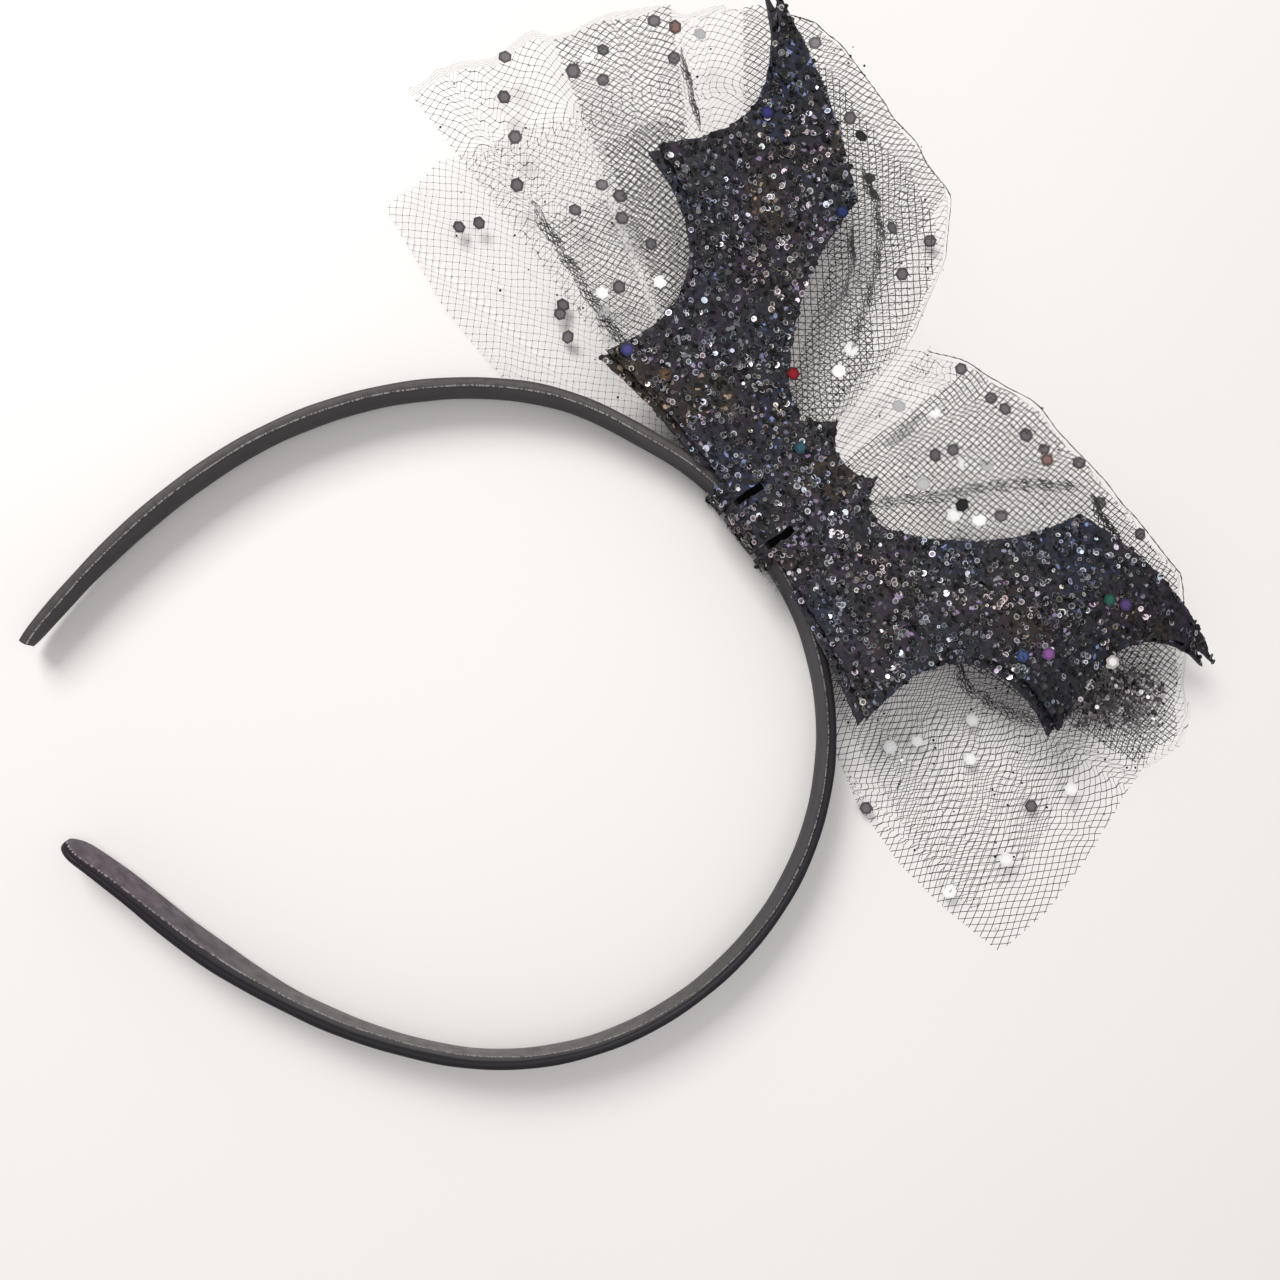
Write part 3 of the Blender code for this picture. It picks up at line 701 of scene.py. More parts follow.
# Glitter flakes: small dished plates of foil glued all over the cloths, tilted at random.
# Most of them look black, some grey and a few white. The white ones are painted glints, and
# the grey ones' rims, lighter than their middles, are painted ring highlights. Far out on the
# wings most flakes are painted black, as painted shade where the wing tips turn from the light.
FLAKE_COUNT = 4600
BACK_FLAKES = 1300
BACK_SHOWS = 3.2 * MM  # how far in from its edge the back cloth is seen
FLAKE_RADIUS = (0.28 * MM, 0.66 * MM)
SLIT_CLEAR = 0.6 * MM  # of flakes beside the slits
FLAKE_TILT = 0.30
FLAKE_THICK = 0.06 * MM
FLAKE_SIDES = 8
FLAKE_DISH = 0.8
FLAKE_LIFT = 0.12 * MM  # of the highest above the cloth
SHADED_FROM = 0.62  # share of the half span past which most flakes look black
# The grey kinds' rims are painted lighter than their middles, as ring highlights, and the white kind is
# painted glints.
FLAKE_TONES = (  # share, darkest_rim, lightest_rim, middle_share_of_rim
    (0.53, 0.008, 0.028, 0.80),
    (0.31, 0.050, 0.160, 0.22),
    (0.135, 0.250, 0.620, 0.25),
    (0.025, 0.850, 0.950, 1.00),
)


def plates(name, centres, ways, radii, shape, tones, paint, draws):
    """A piece of closed plates with raised rims, each turned at random about its way up.

    shape is the count of sides, the thickness and the dish, and tones are the colours of
    the rims and of the middles. A plate has four rings of points: the underside, the rim,
    and two that step down to the middle by dish of the thickness.
    """
    sides, thick, dish = shape
    rims, middles = tones
    ref = np.where(np.abs(ways[:, :1]) < 0.8, [[1.0, 0, 0]], [[0, 1.0, 0]])
    x = unit(np.cross(ways, ref))
    y = np.cross(ways, x)
    a = draws.uniform(0, 1, len(radii))[:, None] + np.arange(sides) * 2 * math.pi / sides
    spoke = x[:, None] * np.cos(a)[..., None] + y[:, None] * np.sin(a)[..., None]
    rings = []
    for size, lift in ((1.0, 0.0), (1.0, 1.0), (0.72, 1.0), (0.52, 1.0 - dish)):
        outward = spoke * radii[:, None, None] * size
        rings.append(centres[:, None] + outward + ways[:, None] * thick * lift)
    faces = tube_faces(len(rings), sides, len(radii))
    obj = new_piece(name, np.stack(rings, 1), faces, paint, smooth=False)
    layer = obj.data.color_attributes.new("tone", "FLOAT_COLOR", "POINT")
    tone = np.repeat(np.stack([rims, rims, rims, middles], 1), sides, axis=1)
    rgba = np.concatenate([tone, np.ones((*tone.shape[:2], 1))], 2)
    layer.data.foreach_set("color", rgba.astype(np.float32).ravel())


def toned_paint(name, **inputs):
    """A paint that takes its colour from the plates' tones."""
    paint = Paint(name, **inputs)
    paint.feed(Base_Color=paint.add("ShaderNodeAttribute", {"attribute_name": "tone"}))
    return paint


flake_paint = toned_paint(
    "flakes", Roughness=0.24, Metallic=0.5, Specular_IOR_Level=0.3, Coat_Weight=0.15, Coat_Roughness=0.1
)


def scatter(name, outline, shift, depth, count, side, draws, within=1.0):
    """Flakes over one half of a cloth's upper face, or along its edge, each from a draw."""
    spots = draws.uniform(outline.min(0), outline.max(0), (count * 12, 2))
    hit, near = inside(spots, outline)
    from_slit = np.abs(np.abs(spots[:, 0]) - (FINGER_WIDTH + SLIT_WIDTH) / 2)
    by_slit = from_slit < SLIT_WIDTH / 2 + SLIT_CLEAR
    hit &= ~(by_slit & (spots[:, 1] < SLIT_LENGTH + SLIT_CLEAR))
    spots = spots[hit & (near < within) & (spots[:, 0] * side > 0)][:count]
    at, up_way = bat_frame(spots[:, 0], spots[:, 1] + shift, depth)
    ways = unit(up_way + draws.normal(0, FLAKE_TILT, up_way.shape))
    lift = BAT_WALL / 2 + draws.uniform(0.0, 1.0, len(spots)) * FLAKE_LIFT
    kind = draws.choice(len(FLAKE_TONES), len(spots), p=[row[0] for row in FLAKE_TONES])
    # Painted shade: far out on the wings more and more flakes are made black, where the tips turn from
    # the light.
    far_out = np.abs(spots[:, 0]) / (WING_SPAN / 2)
    dark = draws.uniform(0, 1, len(spots)) < (far_out - 0.5) * 1.8
    kind[(far_out > SHADED_FROM) & dark] = 0
    rows = np.array(FLAKE_TONES)[kind]
    grey = draws.uniform(rows[:, 1], rows[:, 2])[:, None]
    drift = np.sin(spots[:, :1] / (6 * MM) + 1) * np.sin(spots[:, 1:] / (5 * MM) + 2)
    hue = 1 + draws.normal(0, 0.07, (len(spots), 3)) + (0.0, -0.03, 0.06) + drift * (0.10, 0.0, -0.14)
    rims = np.clip(grey * hue, 0.003, 1)
    radii = draws.uniform(*FLAKE_RADIUS, len(spots))
    centres = at + up_way * lift[:, None]
    shape = (FLAKE_SIDES, FLAKE_THICK, FLAKE_DISH)
    tones = (rims, rims * rows[:, 3:4])
    plates(name, centres, ways, radii, shape, tones, flake_paint, draws)


SIDES = ((-1, "left"), (1, "right"))
for side, where in SIDES:
    scatter(f"{where}_front_flakes", front_outline, 0, 0, FLAKE_COUNT // 2, side, draws)
    depth = BAT_WALL + GAP
    name = f"{where}_back_flakes"
    scatter(name, back_outline, -BACK_SHIFT, depth, BACK_FLAKES // 2, side, draws, BACK_SHOWS)

# Slits: the two cuts beside the middle finger, where the bat bends over the hoop. Their deep
# shade is painted: a black skin just below the front cloth's face fills them.
SHADE_SKIN_DEPTH = 0.1 * MM
# painted shade: matt black, with no shine
shade_skin = Paint("slit_shade", Base_Color=(0.002, 0.002, 0.002, 1), Roughness=1.0, Specular_IOR_Level=0.0)
for side, where in SIDES:
    shade_u = np.linspace(FINGER_WIDTH / 2, FINGER_WIDTH / 2 + SLIT_WIDTH, 4)[:, None] * side
    shade_u, shade_s = np.broadcast_arrays(shade_u, np.linspace(0, SLIT_LENGTH, 10)[None, :])
    shade_points, _ = bat_frame(shade_u, shade_s, SHADE_SKIN_DEPTH - BAT_WALL / 2)
    face_out(new_piece(f"{where}_slit_shade", shade_points, grid_faces(4, 10), shade_skin))

# Coarse flakes: a few much larger flakes of coloured foil among the others, flat hexagons
# glued down on the bat's face where the picture shows them.
BIG_FLAKE = 1.3 * MM
BIG_FLAKE_LIFT = 0.22 * MM
BIG_FLAKE_DISH = 0.2
BIG_FLAKES = (  # picture_x, picture_y, colour
    (767, 113, (0.045, 0.050, 0.200)),
    (627, 350, (0.050, 0.055, 0.190)),
    (1014, 546, (0.060, 0.045, 0.200)),
    (1018, 602, (0.080, 0.100, 0.180)),
    (1109, 600, (0.030, 0.130, 0.090)),
    (1125, 605, (0.100, 0.060, 0.200)),
    (1022, 656, (0.030, 0.070, 0.210)),
    (1048, 654, (0.180, 0.060, 0.220)),
    (793, 374, (0.300, 0.015, 0.025)),
    (665, 375, (0.090, 0.045, 0.022)),
    (800, 448, (0.030, 0.085, 0.130)),
    (1112, 662, (0.62, 0.60, 0.58)),
    (842, 212, (0.030, 0.045, 0.150)),
)


def bat_height(plan):
    """The height of the bat's upper face over a plan point beyond the fingers."""
    u, v = plan @ U_AXIS, plan @ V_AXIS
    run, rise = (RIGHT_RUN, RIGHT_RISE) if u > 0 else (LEFT_RUN, LEFT_RISE)
    return FRONT_MIDDLE + BAT_WALL / 2 + np.interp(abs(u), run, rise)


spots, ways = [], []
for x, y, _ in BIG_FLAKES:
    height = FRONT_MIDDLE
    for _ in range(4):
        height = bat_height(seen_at(x, y, height))
    spots.append((*seen_at(x, y, height), height + BIG_FLAKE_LIFT))
    ways.append(Vector((*draws.normal(0, 0.06, 2), 1)).normalized())
big_tones = np.array([row[2] for row in BIG_FLAKES])
plates(
    "big_flakes",
    np.array(spots),
    np.array(ways),
    np.full(len(spots), BIG_FLAKE),
    (6, FLAKE_THICK, BIG_FLAKE_DISH),
    (big_tones * 0.5, big_tones),
    flake_paint,
    draws,
)

# Felt strip: a short piece of black felt glued along the hoop's outer face, to back the bat
# and the bow. Its surface is lumpy and fuzzy, and loose fibres stand out of it.
FELT_LENGTH = 40 * MM
FELT_BEFORE = 27 * MM
FELT_THICK = 1.9 * MM
FELT_HEIGHT = 8 * MM
FELT_FOOT = 0.6 * MM
FELT_ROUND = 0.5 * MM
FIBRES = 700
FIBRE_RADIUS = 0.035 * MM

felt = Paint("felt", Roughness=0.95, Sheen_Weight=0.5, Sheen_Roughness=0.6)
felt_noise = felt.noise(felt.place(), 1800.0, 4.0)
felt.feed(
    Base_Color=felt.ramp(felt_noise, (0.3, (0.008, 0.008, 0.009)), (0.7, (0.040, 0.038, 0.040))),
    Normal=felt.bump(0.7, 0.0002, felt_noise),
)
felt_start = knot_along - FELT_BEFORE
felt_s = felt_start + np.linspace(0, 1, 110) * FELT_LENGTH
felt_end = np.minimum(felt_s - felt_start, felt_start + FELT_LENGTH - felt_s) / FELT_LENGTH
felt_full = 0.80 + 0.20 * np.clip(felt_end * 9, 0, 1)
felt_round = np.full(len(felt_s), FELT_ROUND)
felt_section = rounded_section(FELT_THICK / 2 * felt_full, FELT_HEIGHT / 2 * felt_full, felt_round)
felt_lumps = 1 + 0.05 * draws.normal(0, 1, felt_section.shape[:2])
felt_middle = BAND_THICK / 2 + GAP + FELT_THICK / 2 * felt_full[:, None]
felt_out = felt_middle + felt_section[..., 0] * felt_lumps
felt_up = FELT_FOOT + FELT_HEIGHT / 2 + felt_section[..., 1] * felt_lumps
felt_out = np.maximum(felt_out, BAND_THICK / 2 + GAP * 0.6)
felt_points = strip_point(felt_s[:, None] + felt_out * 0, felt_out, np.maximum(felt_up, 0.1 * MM))
felt_faces = tube_faces(len(felt_s), felt_points.shape[1])
felt_pad = new_piece("felt_strip", felt_points, felt_faces, felt)
face_out(felt_pad)
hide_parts("felt_pad")


def fibres(name, starts, ways, lengths, radius, paint, draws):
    """Thin closed hairs that bend away from their starts along parabolas and thin to tips.

    Each has four sections of four points, and its bend is drawn at random.
    """
    bends = draws.normal(0, 0.5, starts.shape)
    side = unit(np.cross(ways, bends))
    other = np.cross(ways, side)
    t = np.array([0, 0.33, 0.66, 1.0])[:, None]
    reach = lengths[:, None, None] * t
    middles = starts[:, None] + ways[:, None] * reach + bends[:, None] * reach * 0.5 * t
    corners = np.stack([side, other, -side, -other], 1)
    wide = radius * (1 - 0.75 * t)
    points = middles[:, :, None] + corners[:, None] * wide[..., None]
    face_out(new_piece(name, points, tube_faces(4, 4, len(starts)), paint))


s_draw = felt_start + draws.uniform(0, 1, FIBRES) * FELT_LENGTH
z_draw = FELT_FOOT + FELT_HEIGHT * draws.uniform(0.35, 1.0, FIBRES)
out_draw = BAND_THICK / 2 + GAP + FELT_THICK * draws.uniform(0.2, 1, FIBRES)
fibre_starts = strip_point(s_draw, out_draw, z_draw)
fibre_ways = unit(draws.normal(0, 1, (FIBRES, 3)) + (0.6, 0.3, 0.8))
fibre_lengths = draws.uniform(0.5, 1.8, FIBRES) * MM
fibres("felt_fuzz", fibre_starts, fibre_ways, fibre_lengths, FIBRE_RADIUS, felt, draws)

# Net: open lattices of fine thread on pleated fans about the knot. A sheet's pattern
# follows its flat cut, so it crowds together wherever the cloth stands steeply in a fold.
NET_START = 14 * MM
NET_WALL = 1.0 * MM
NET_FOOT = NET_WALL / 2 + 0.2 * MM
NET_KNOT_HEIGHT = 5.0 * MM
NET_KNOT_SPREAD = 45 * MM
OVER_LIFT = 1.6 * MM
MESH = 1.27 * MM  # between threads
THREAD = 0.068 * MM
NET_WOBBLE = 0.0017  # of the threads, in the UV map's units
FLAT_SPAN = 0.30  # the UV map's unit square
NET_STEP_DEG = 0.3
NET_RINGS = 112
NET_GROWTH = 40 * MM  # from the knot's clear space to where folds stand full
NET_WAVE = 0.28 * MM
LOWEST_NET = 0.12 * MM  # above the table
CREASE_HEIGHT = 6 * MM  # of the net above the table where a crease's places are taken
HEM_WIDE = 1.2 * MM
HEM_DROP = 2.0 * MM
LEFT_OVER_REACH = 104.8 * MM
LEFT_UNDER_REACH = 90.8 * MM
RIGHT_OVER_REACH = 94.7 * MM
RIGHT_UNDER_REACH = 93.0 * MM
LEFT_OVER = (  # azimuth_deg, share_of_reach, lift_deg
    (127.3, 1.000, 0.6),
    (122.8, 0.984, 2.6),
    (118.5, 0.974, 1.0),
    (113.6, 0.966, 4.6),
    (111.0, 0.965, 2.2),
    (104.0, 0.964, 4.0),
    (98.6, 0.965, 4.8),
    (96.0, 0.965, 2.6),
    (88.5, 0.968, 4.6),
    (81.7, 0.953, 4.4),
    (78.1, 0.903, 6.0),
    (71.5, 0.829, 6.2),
    (65.2, 0.741, 11.5),
    (58.7, 0.673, 16.5),
    (54.0, 0.597, 15.0),
    (49.6, 0.485, 10.0),
    (48.3, 0.450, 6.5),
)
LEFT_UNDER = (
    (147.5, 0.597, 0.0),
    (143.1, 0.786, 0.5),
    (137.8, 1.000, 0.1),
    (130.5, 0.995, 1.0),
    (124.0, 0.985, 0.1),
    (116.0, 0.970, 0.9),
    (107.0, 0.955, 0.2),
    (99.0, 0.930, 0.0),
)
RIGHT_OVER = (
    (45.0, 0.533, 6.0),
    (38.0, 0.563, 10.0),
    (30.6, 0.614, 6.0),
    (24.0, 0.643, 9.5),
    (16.3, 0.695, 5.5),
    (9.5, 0.733, 7.0),
    (3.6, 0.806, 3.8),
    (-4.6, 0.916, 2.6),
    (-10.7, 0.958, 0.5),
    (-17.0, 0.980, 0.9),
    (-24.7, 1.020, 0.4),
    (-30.0, 0.953, 1.2),
)
RIGHT_UNDER = (
    (-8.0, 0.880, 0.0),
    (-16.0, 0.940, 0.9),
    (-26.0, 0.995, 0.1),
    (-34.0, 0.965, 1.4),
    (-43.0, 0.985, 0.2),
    (-51.0, 0.995, 1.2),
    (-58.5, 1.000, 0.2),
    (-62.0, 0.855, 0.8),
    (-64.9, 0.740, 0.4),
    (-67.0, 0.600, 0.0),
)
BRIDGE = (  # the light net between the two fans, under the left one
    (54.0, 0.470, 3.0),
    (49.0, 0.520, 4.0),
    (44.0, 0.537, 5.0),
    (40.5, 0.540, 6.0),
)
LEFT_OVER_LEAF = (LEFT_OVER, LEFT_OVER_REACH, True)  # rim, reach, whether it lies on another
LEFT_UNDER_LEAF = (LEFT_UNDER, LEFT_UNDER_REACH, False)
RIGHT_OVER_LEAF = (RIGHT_OVER, RIGHT_OVER_REACH, True)
RIGHT_UNDER_LEAF = (RIGHT_UNDER, RIGHT_UNDER_REACH, False)
BRIDGE_LEAF = (BRIDGE, RIGHT_OVER_REACH, False)


def net_paint(name, lattice_turn, skew, thread, tone, knot, mesh=MESH):
    """Threads of a lattice, cut out by alpha: two crossing rows and a knot where they meet."""
    paint = Paint(name, Roughness=0.6, Sheen_Weight=0.2)
    flat = paint.add("ShaderNodeUVMap", {"uv_map": "flat"})
    bent = paint.shaken(flat, paint.noise(flat, 62.0, 1.0, out=1), NET_WOBBLE)
    rows = []
    for turn in (lattice_turn, lattice_turn + skew):
        a = math.radians(turn)
        way = (math.cos(a) * FLAT_SPAN / mesh, math.sin(a) * FLAT_SPAN / mesh, 0)
        rows.append(abs(paint.vector("DOT_PRODUCT", bent, way, out=1) % 1.0 - 0.5))
    half_thread = thread / mesh / 2
    first, second = (row < half_thread for row in rows)
    knots = (rows[0] + rows[1]) < half_thread * knot
    seen = first.math("MAXIMUM", first.math("MAXIMUM", first, second), knots)
    shade = paint.noise(flat, 900.0, 1.0)
    paint.feed(
        Base_Color=paint.ramp(shade, (0.35, tuple(0.5 * c for c in tone)), (0.65, tone)), Alpha=seen
    )
    return paint


clear_edge = []
for s, point, side in zip(along[::3], line[::3], out[::3]):
    reach = BAND_THICK / 2 + GAP + NET_WALL / 2
    if -GAP < s - felt_start < FELT_LENGTH + GAP:
        reach += GAP + FELT_THICK
    clear_edge.append(point + side * reach)
clear_edge = np.array(clear_edge)
clear_turn = np.degrees(np.arctan2(clear_edge[:, 1], clear_edge[:, 0]))
clear_reach = np.linalg.norm(clear_edge, axis=1)


def leaf_start(azimuth):
    """Where the net begins on each ray: outside the pinched middle, the hoop and the felt."""
    start = np.full(azimuth.shape, NET_START)
    for k, a in enumerate(azimuth):
        close = (np.abs(clear_turn - a) < 1.0) & (clear_reach < BAND_LENGTH / 4)
        if close.any():
            start[k] = max(start[k], clear_reach[close].max())
    return start


def rim(table_rows, azimuth):
    """A fan's reach at azimuths: straight lines between the table's rim points."""
    rows = np.array(sorted(table_rows), float)
    i = np.clip(np.searchsorted(rows[:, 0], azimuth) - 1, 0, len(rows) - 2)
    here, whole = np.radians(azimuth - rows[i, 0]), np.radians(rows[i + 1, 0] - rows[i, 0])
    r0, r1 = rows[i, 1], rows[i + 1, 1]
    return r0 * r1 * np.sin(whole) / (r0 * np.sin(here) + r1 * np.sin(whole - here))


def net_height(table_rows, azimuth, r, over):
    """The height of a leaf's middle, worked out as for the CAD's leaf."""
    knot_part = np.maximum(0, 1 - r / NET_KNOT_SPREAD) ** 1.5 * (NET_KNOT_HEIGHT - NET_FOOT)
    lift = np.sin(np.radians(column(table_rows, azimuth, 2, smooth=True)))
    return NET_FOOT + knot_part + (r - NET_START) * lift + (OVER_LIFT if over else 0)


def crease_lift(points, crease):
    """How high a crease stands at plan points: a ridge along a line of picture places."""
    tall, wide, *places = crease
    spots = [seen_at(x, y, CREASE_HEIGHT) for x, y in places]
    near = np.full(points.shape[:-1], 1.0)
    for p, q in zip(spots, spots[1:]):
        t = np.clip((points - p) @ (q - p) / ((q - p) @ (q - p)), 0, 1)
        near = np.minimum(near, np.linalg.norm(points - p - t[..., None] * (q - p), axis=-1))
    crumple = 1 + 0.35 * np.sin(points[..., 0] / (0.9 * MM)) * np.sin(points[..., 1] / (1.1 * MM))
    return tall * MM * crumple * np.exp(-((near / (wide * MM)) ** 2))


def polar(r, angle):
    """Plan points from their distances from the knot and their angles."""
    return np.stack([r * np.cos(angle), r * np.sin(angle)], -1)


def net_sheet(
    name,
    leaf,
    paint,
    span=None,
    shares=(0.0, 1.0),
    raised=0.0,
    folds=(),
    creases=(),
    hem=None,
    seed=0,
    shades=False,
):
    """A pleated fan of net, or the part of it between two azimuths and two shares of reach.

    folds are ridges that the net stands up in, as rows (azimuth_deg at the start, drift_deg
    to the rim, height_mm, width_mm). creases are ridges along lines in the picture, as rows
    (height_mm, width_mm, picture places), and hem is the span of azimuths where the rim is
    turned down. Only a sheet that shades blocks the light of the lamps and the room. The UV
    map is the flat cut: the distance from the knot along the cloth, and the angle with the
    length that its folds take up.
    """
    table_rows, reach, over = leaf
    random = np.random.default_rng(seed)
    limits = [row[0] for row in table_rows]
    low, high_turn = span or (min(limits), max(limits))
    azimuth = np.arange(low, high_turn, NET_STEP_DEG)
    azimuth[-1] = high_turn
    start = leaf_start(azimuth)
    far = np.maximum(reach * rim(table_rows, azimuth), start + 2 * MM)
    near_r = start + (far - start) * shares[0]
    far_r = start + (far - start) * shares[1]
    r = near_r[:, None] + (far_r - near_r)[:, None] * np.linspace(0, 1, NET_RINGS)
    grow = np.clip((r - NET_START) / NET_GROWTH, 0, 1)
    turn = azimuth[:, None] + 0 * r
    height = net_height(table_rows, turn, r, over) + raised * grow
    for _ in range(5):
        waves, phase, slant = random.uniform(0.35, 1.2), random.uniform(0, 6.3), random.uniform(-60, 60)
        height += NET_WAVE * grow * np.sin(turn * waves + phase + r * slant)
    for at, drift, tall, wide in folds:
        side = r * np.radians(turn - at - drift * r / reach)
        side += 0.5 * MM * np.sin(r / (4 * MM) + at)
        height += tall * MM * grow * np.exp(-((side / (wide * MM)) ** 2))
    angle = np.radians(turn)
    plan = polar(r, angle)
    for crease in creases:
        height += crease_lift(plan, crease)
    if hem:
        turned = np.clip((r - far_r[:, None]) / HEM_WIDE + 1, 0, 1) ** 2
        height -= HEM_DROP * turned * ((turn > hem[0]) & (turn < hem[1]))
    height = np.maximum(height, LOWEST_NET)
    points = at_height(plan, height)
    slant_r = r[:, :1] + distance_along(points)
    slope = np.gradient(height, axis=1) / np.gradient(r, axis=1)
    rise = np.diff(height, axis=0) - slope[1:] * np.diff(r, axis=0)
    level = r[1:] * np.diff(angle, axis=0)
    extra = np.cumsum(np.hypot(rise, level) - level, axis=0)
    extra = np.concatenate([np.zeros((1, NET_RINGS)), extra], axis=0)
    flat_turn = angle + (extra - extra.mean(axis=0)) / r
    obj = new_piece(name, points, grid_faces(len(azimuth), NET_RINGS), paint)
    set_uv(obj, polar(slant_r, flat_turn) / FLAT_SPAN + 0.5)
    obj.visible_shadow = shades
    obj.visible_diffuse = shades
    wide = float(extra.max() + level.sum(axis=0).max())
    return obj


net_light = net_paint("net_light", -6, 90, THREAD * 0.72, (0.090, 0.084, 0.086), knot=5.5)
net_slant = net_paint("net_slant", 73, 74, THREAD * 1.1, (0.060, 0.056, 0.058), knot=4.5)
net_pleat = net_paint("net_pleat", 64, 70, THREAD * 2.1, (0.022, 0.020, 0.021), knot=2.6, mesh=1.12 * MM)
net_dark = net_paint("net_dark", 5, 84, THREAD * 2.4, (0.022, 0.020, 0.021), knot=2.2)
net_black = net_paint("net_black", 52, 84, THREAD * 2.5, (0.012, 0.010, 0.011), knot=2.0, mesh=1.05 * MM)
net_low = net_paint("net_low", 94, 64, THREAD * 1.9, (0.022, 0.020, 0.021), knot=2.4)
net_low_second = net_paint("net_low_second", 99, 58, THREAD * 1.4, (0.022, 0.020, 0.021), knot=2.4)
net_tuck = net_paint("net_tuck", -38, 80, THREAD * 3.8, (0.016, 0.014, 0.015), knot=2.2)
left_under = net_sheet(
    "net_left_under", LEFT_UNDER_LEAF, net_light, folds=((133, -4, 1.0, 1.8),), seed=1, shades=True
)
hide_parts("tulle_left_under")
left_over = net_sheet(
    "net_left_over",
    LEFT_OVER_LEAF,
    net_slant,
    folds=((122, 2, 1.2, 0.9), (58, 4, 1.5, 0.8)),
    creases=(
        (2.4, 0.8, (540, 215), (566, 262), (590, 290), (606, 312), (628, 336)),
        (2.2, 0.8, (858, 175), (879, 219), (881, 253), (862, 314), (848, 351)),
        (1.8, 0.7, (850, 222), (853, 262), (845, 292), (817, 331)),
        (1.6, 0.6, (680, 47), (695, 104), (710, 132)),
    ),
    hem=(50, 92),
    seed=2,
)
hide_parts("tulle_left_over")
left_crease = (1.2, 0.5, (640, 130), (690, 250))
lobe_fold = (68, -4, 1.5, 0.8)
net_sheet(
    "net_left_pleat",
    LEFT_OVER_LEAF,
    net_pleat,
    (98.3, 111.2),
    (0, 0.985),
    0.7 * MM,
    creases=(left_crease,),
    seed=3,
)
net_sheet("net_left_pleat_in", LEFT_OVER_LEAF, net_black, (98.6, 110.0), (0, 0.74), 1.3 * MM, seed=4)
net_sheet("net_left_ruffle", LEFT_OVER_LEAF, net_pleat, (112.6, 124), (0, 0.62), -0.7 * MM, seed=5)
net_sheet(
    "net_left_lobe", LEFT_OVER_LEAF, net_dark, (50, 84), (0, 0.93), -1.0 * MM, folds=(lobe_fold,), seed=6
)
net_sheet("net_left_edge", LEFT_OVER_LEAF, net_pleat, (60, 90), (0.56, 0.99), 0.5 * MM, seed=16)
net_sheet("net_left_lobe_in", LEFT_OVER_LEAF, net_black, (53, 72), (0, 0.55), 0.5 * MM, seed=11)
right_under = net_sheet(
    "net_right_under",
    RIGHT_UNDER_LEAF,
    net_low,
    folds=((-44, 3, 1.2, 1.4),),
    creases=((1.8, 0.8, (957, 663), (968, 691), (1013, 714), (1052, 725)),),
    seed=7,
)
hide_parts("tulle_right_under")
net_sheet("net_low_second", RIGHT_UNDER_LEAF, net_low_second, (-61.5, -30), (0, 0.86), 0.7 * MM, seed=15)
right_over = net_sheet(
    "net_right_over",
    RIGHT_OVER_LEAF,
    net_slant,
    folds=((32, 2, 1.4, 0.8),),
    creases=((1.5, 0.6, (926, 348), (927, 384)), (1.6, 0.8, (954, 411), (966, 384))),
    hem=(-20, 45),
    seed=8,
)
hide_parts("tulle_right_over")
net_sheet("net_right_second", RIGHT_OVER_LEAF, net_black, (-12, 36), (0, 0.97), 0.8 * MM, seed=9)
net_sheet("net_right_tuft", RIGHT_OVER_LEAF, net_black, (-30, -14), (0, 0.97), -0.6 * MM, seed=10)
net_sheet("net_right_film", RIGHT_OVER_LEAF, net_pleat, (-27, -16), (0.3, 0.90), 0.6 * MM, seed=13)
net_sheet("net_bridge", BRIDGE_LEAF, net_slant, raised=0.6 * MM, seed=14)

# Tucks: narrow crumpled folds of net that stand on the fans where the picture shows dark
# creases. Each is a zigzag strip, its flat cut several times as wide as the tuck.
TUCK_RISE = 0.9 * MM
TUCK_TURNS = 3.5
TUCK_COLUMNS = 45
TUCK_STEP = 0.35 * MM
TUCK_TAPER = 4 * MM  # at each end
TUCKS = (  # width_mm, picture places
    (2.0, (531, 201), (549, 232), (566, 257), (581, 281), (593, 303), (612, 330), (634, 352)),
    (1.5, (861, 168), (876, 200), (881, 240), (872, 285), (852, 350)),
    (1.1, (680, 46), (690, 88), (697, 116), (701, 132)),
    (2.2, (926, 414), (905, 430), (884, 447)),
    (2.2, (861, 504), (900, 501), (947, 495), (985, 486), (1040, 484), (1084, 488)),
    (1.2, (880, 529), (905, 538), (940, 542), (972, 540)),
    (1.5, (1091, 494), (1100, 514), (1112, 532), (1124, 545)),
    (2.2, (956, 662), (970, 690), (1010, 714), (1056, 727)),
    (1.0, (851, 226), (853, 262), (844, 292), (818, 330)),
)
TOP_FIRST = (LEFT_OVER_LEAF, RIGHT_OVER_LEAF, LEFT_UNDER_LEAF, RIGHT_UNDER_LEAF)
NO_NET = 1.0 * MM  # the height that stands for a place without net
PAST_RIM = 1.02  # share of a leaf's reach up to which a place counts as on it


def net_under(plan):
    """The height of the topmost leaf under a plan point."""
    azimuth, r = math.degrees(math.atan2(plan[1], plan[0])), math.hypot(*plan)
    for table_rows, reach, over in TOP_FIRST:
        limits = [row[0] for row in table_rows]
        inside_span = min(limits) <= azimuth <= max(limits)
        if inside_span and r < PAST_RIM * reach * rim(table_rows, np.array([azimuth]))[0]:
            return float(net_height(table_rows, np.array([azimuth]), r, over)[0])
    return NO_NET


def over_net(x, y, lift, height=5 * MM):
    """The point at lift above the net that the picture's place (x, y) shows.

    The height is a first guess, which each of five rounds betters.
    """
    for _ in range(5):
        height = net_under(seen_at(x, y, height)) + lift
    return (*seen_at(x, y, height), height)


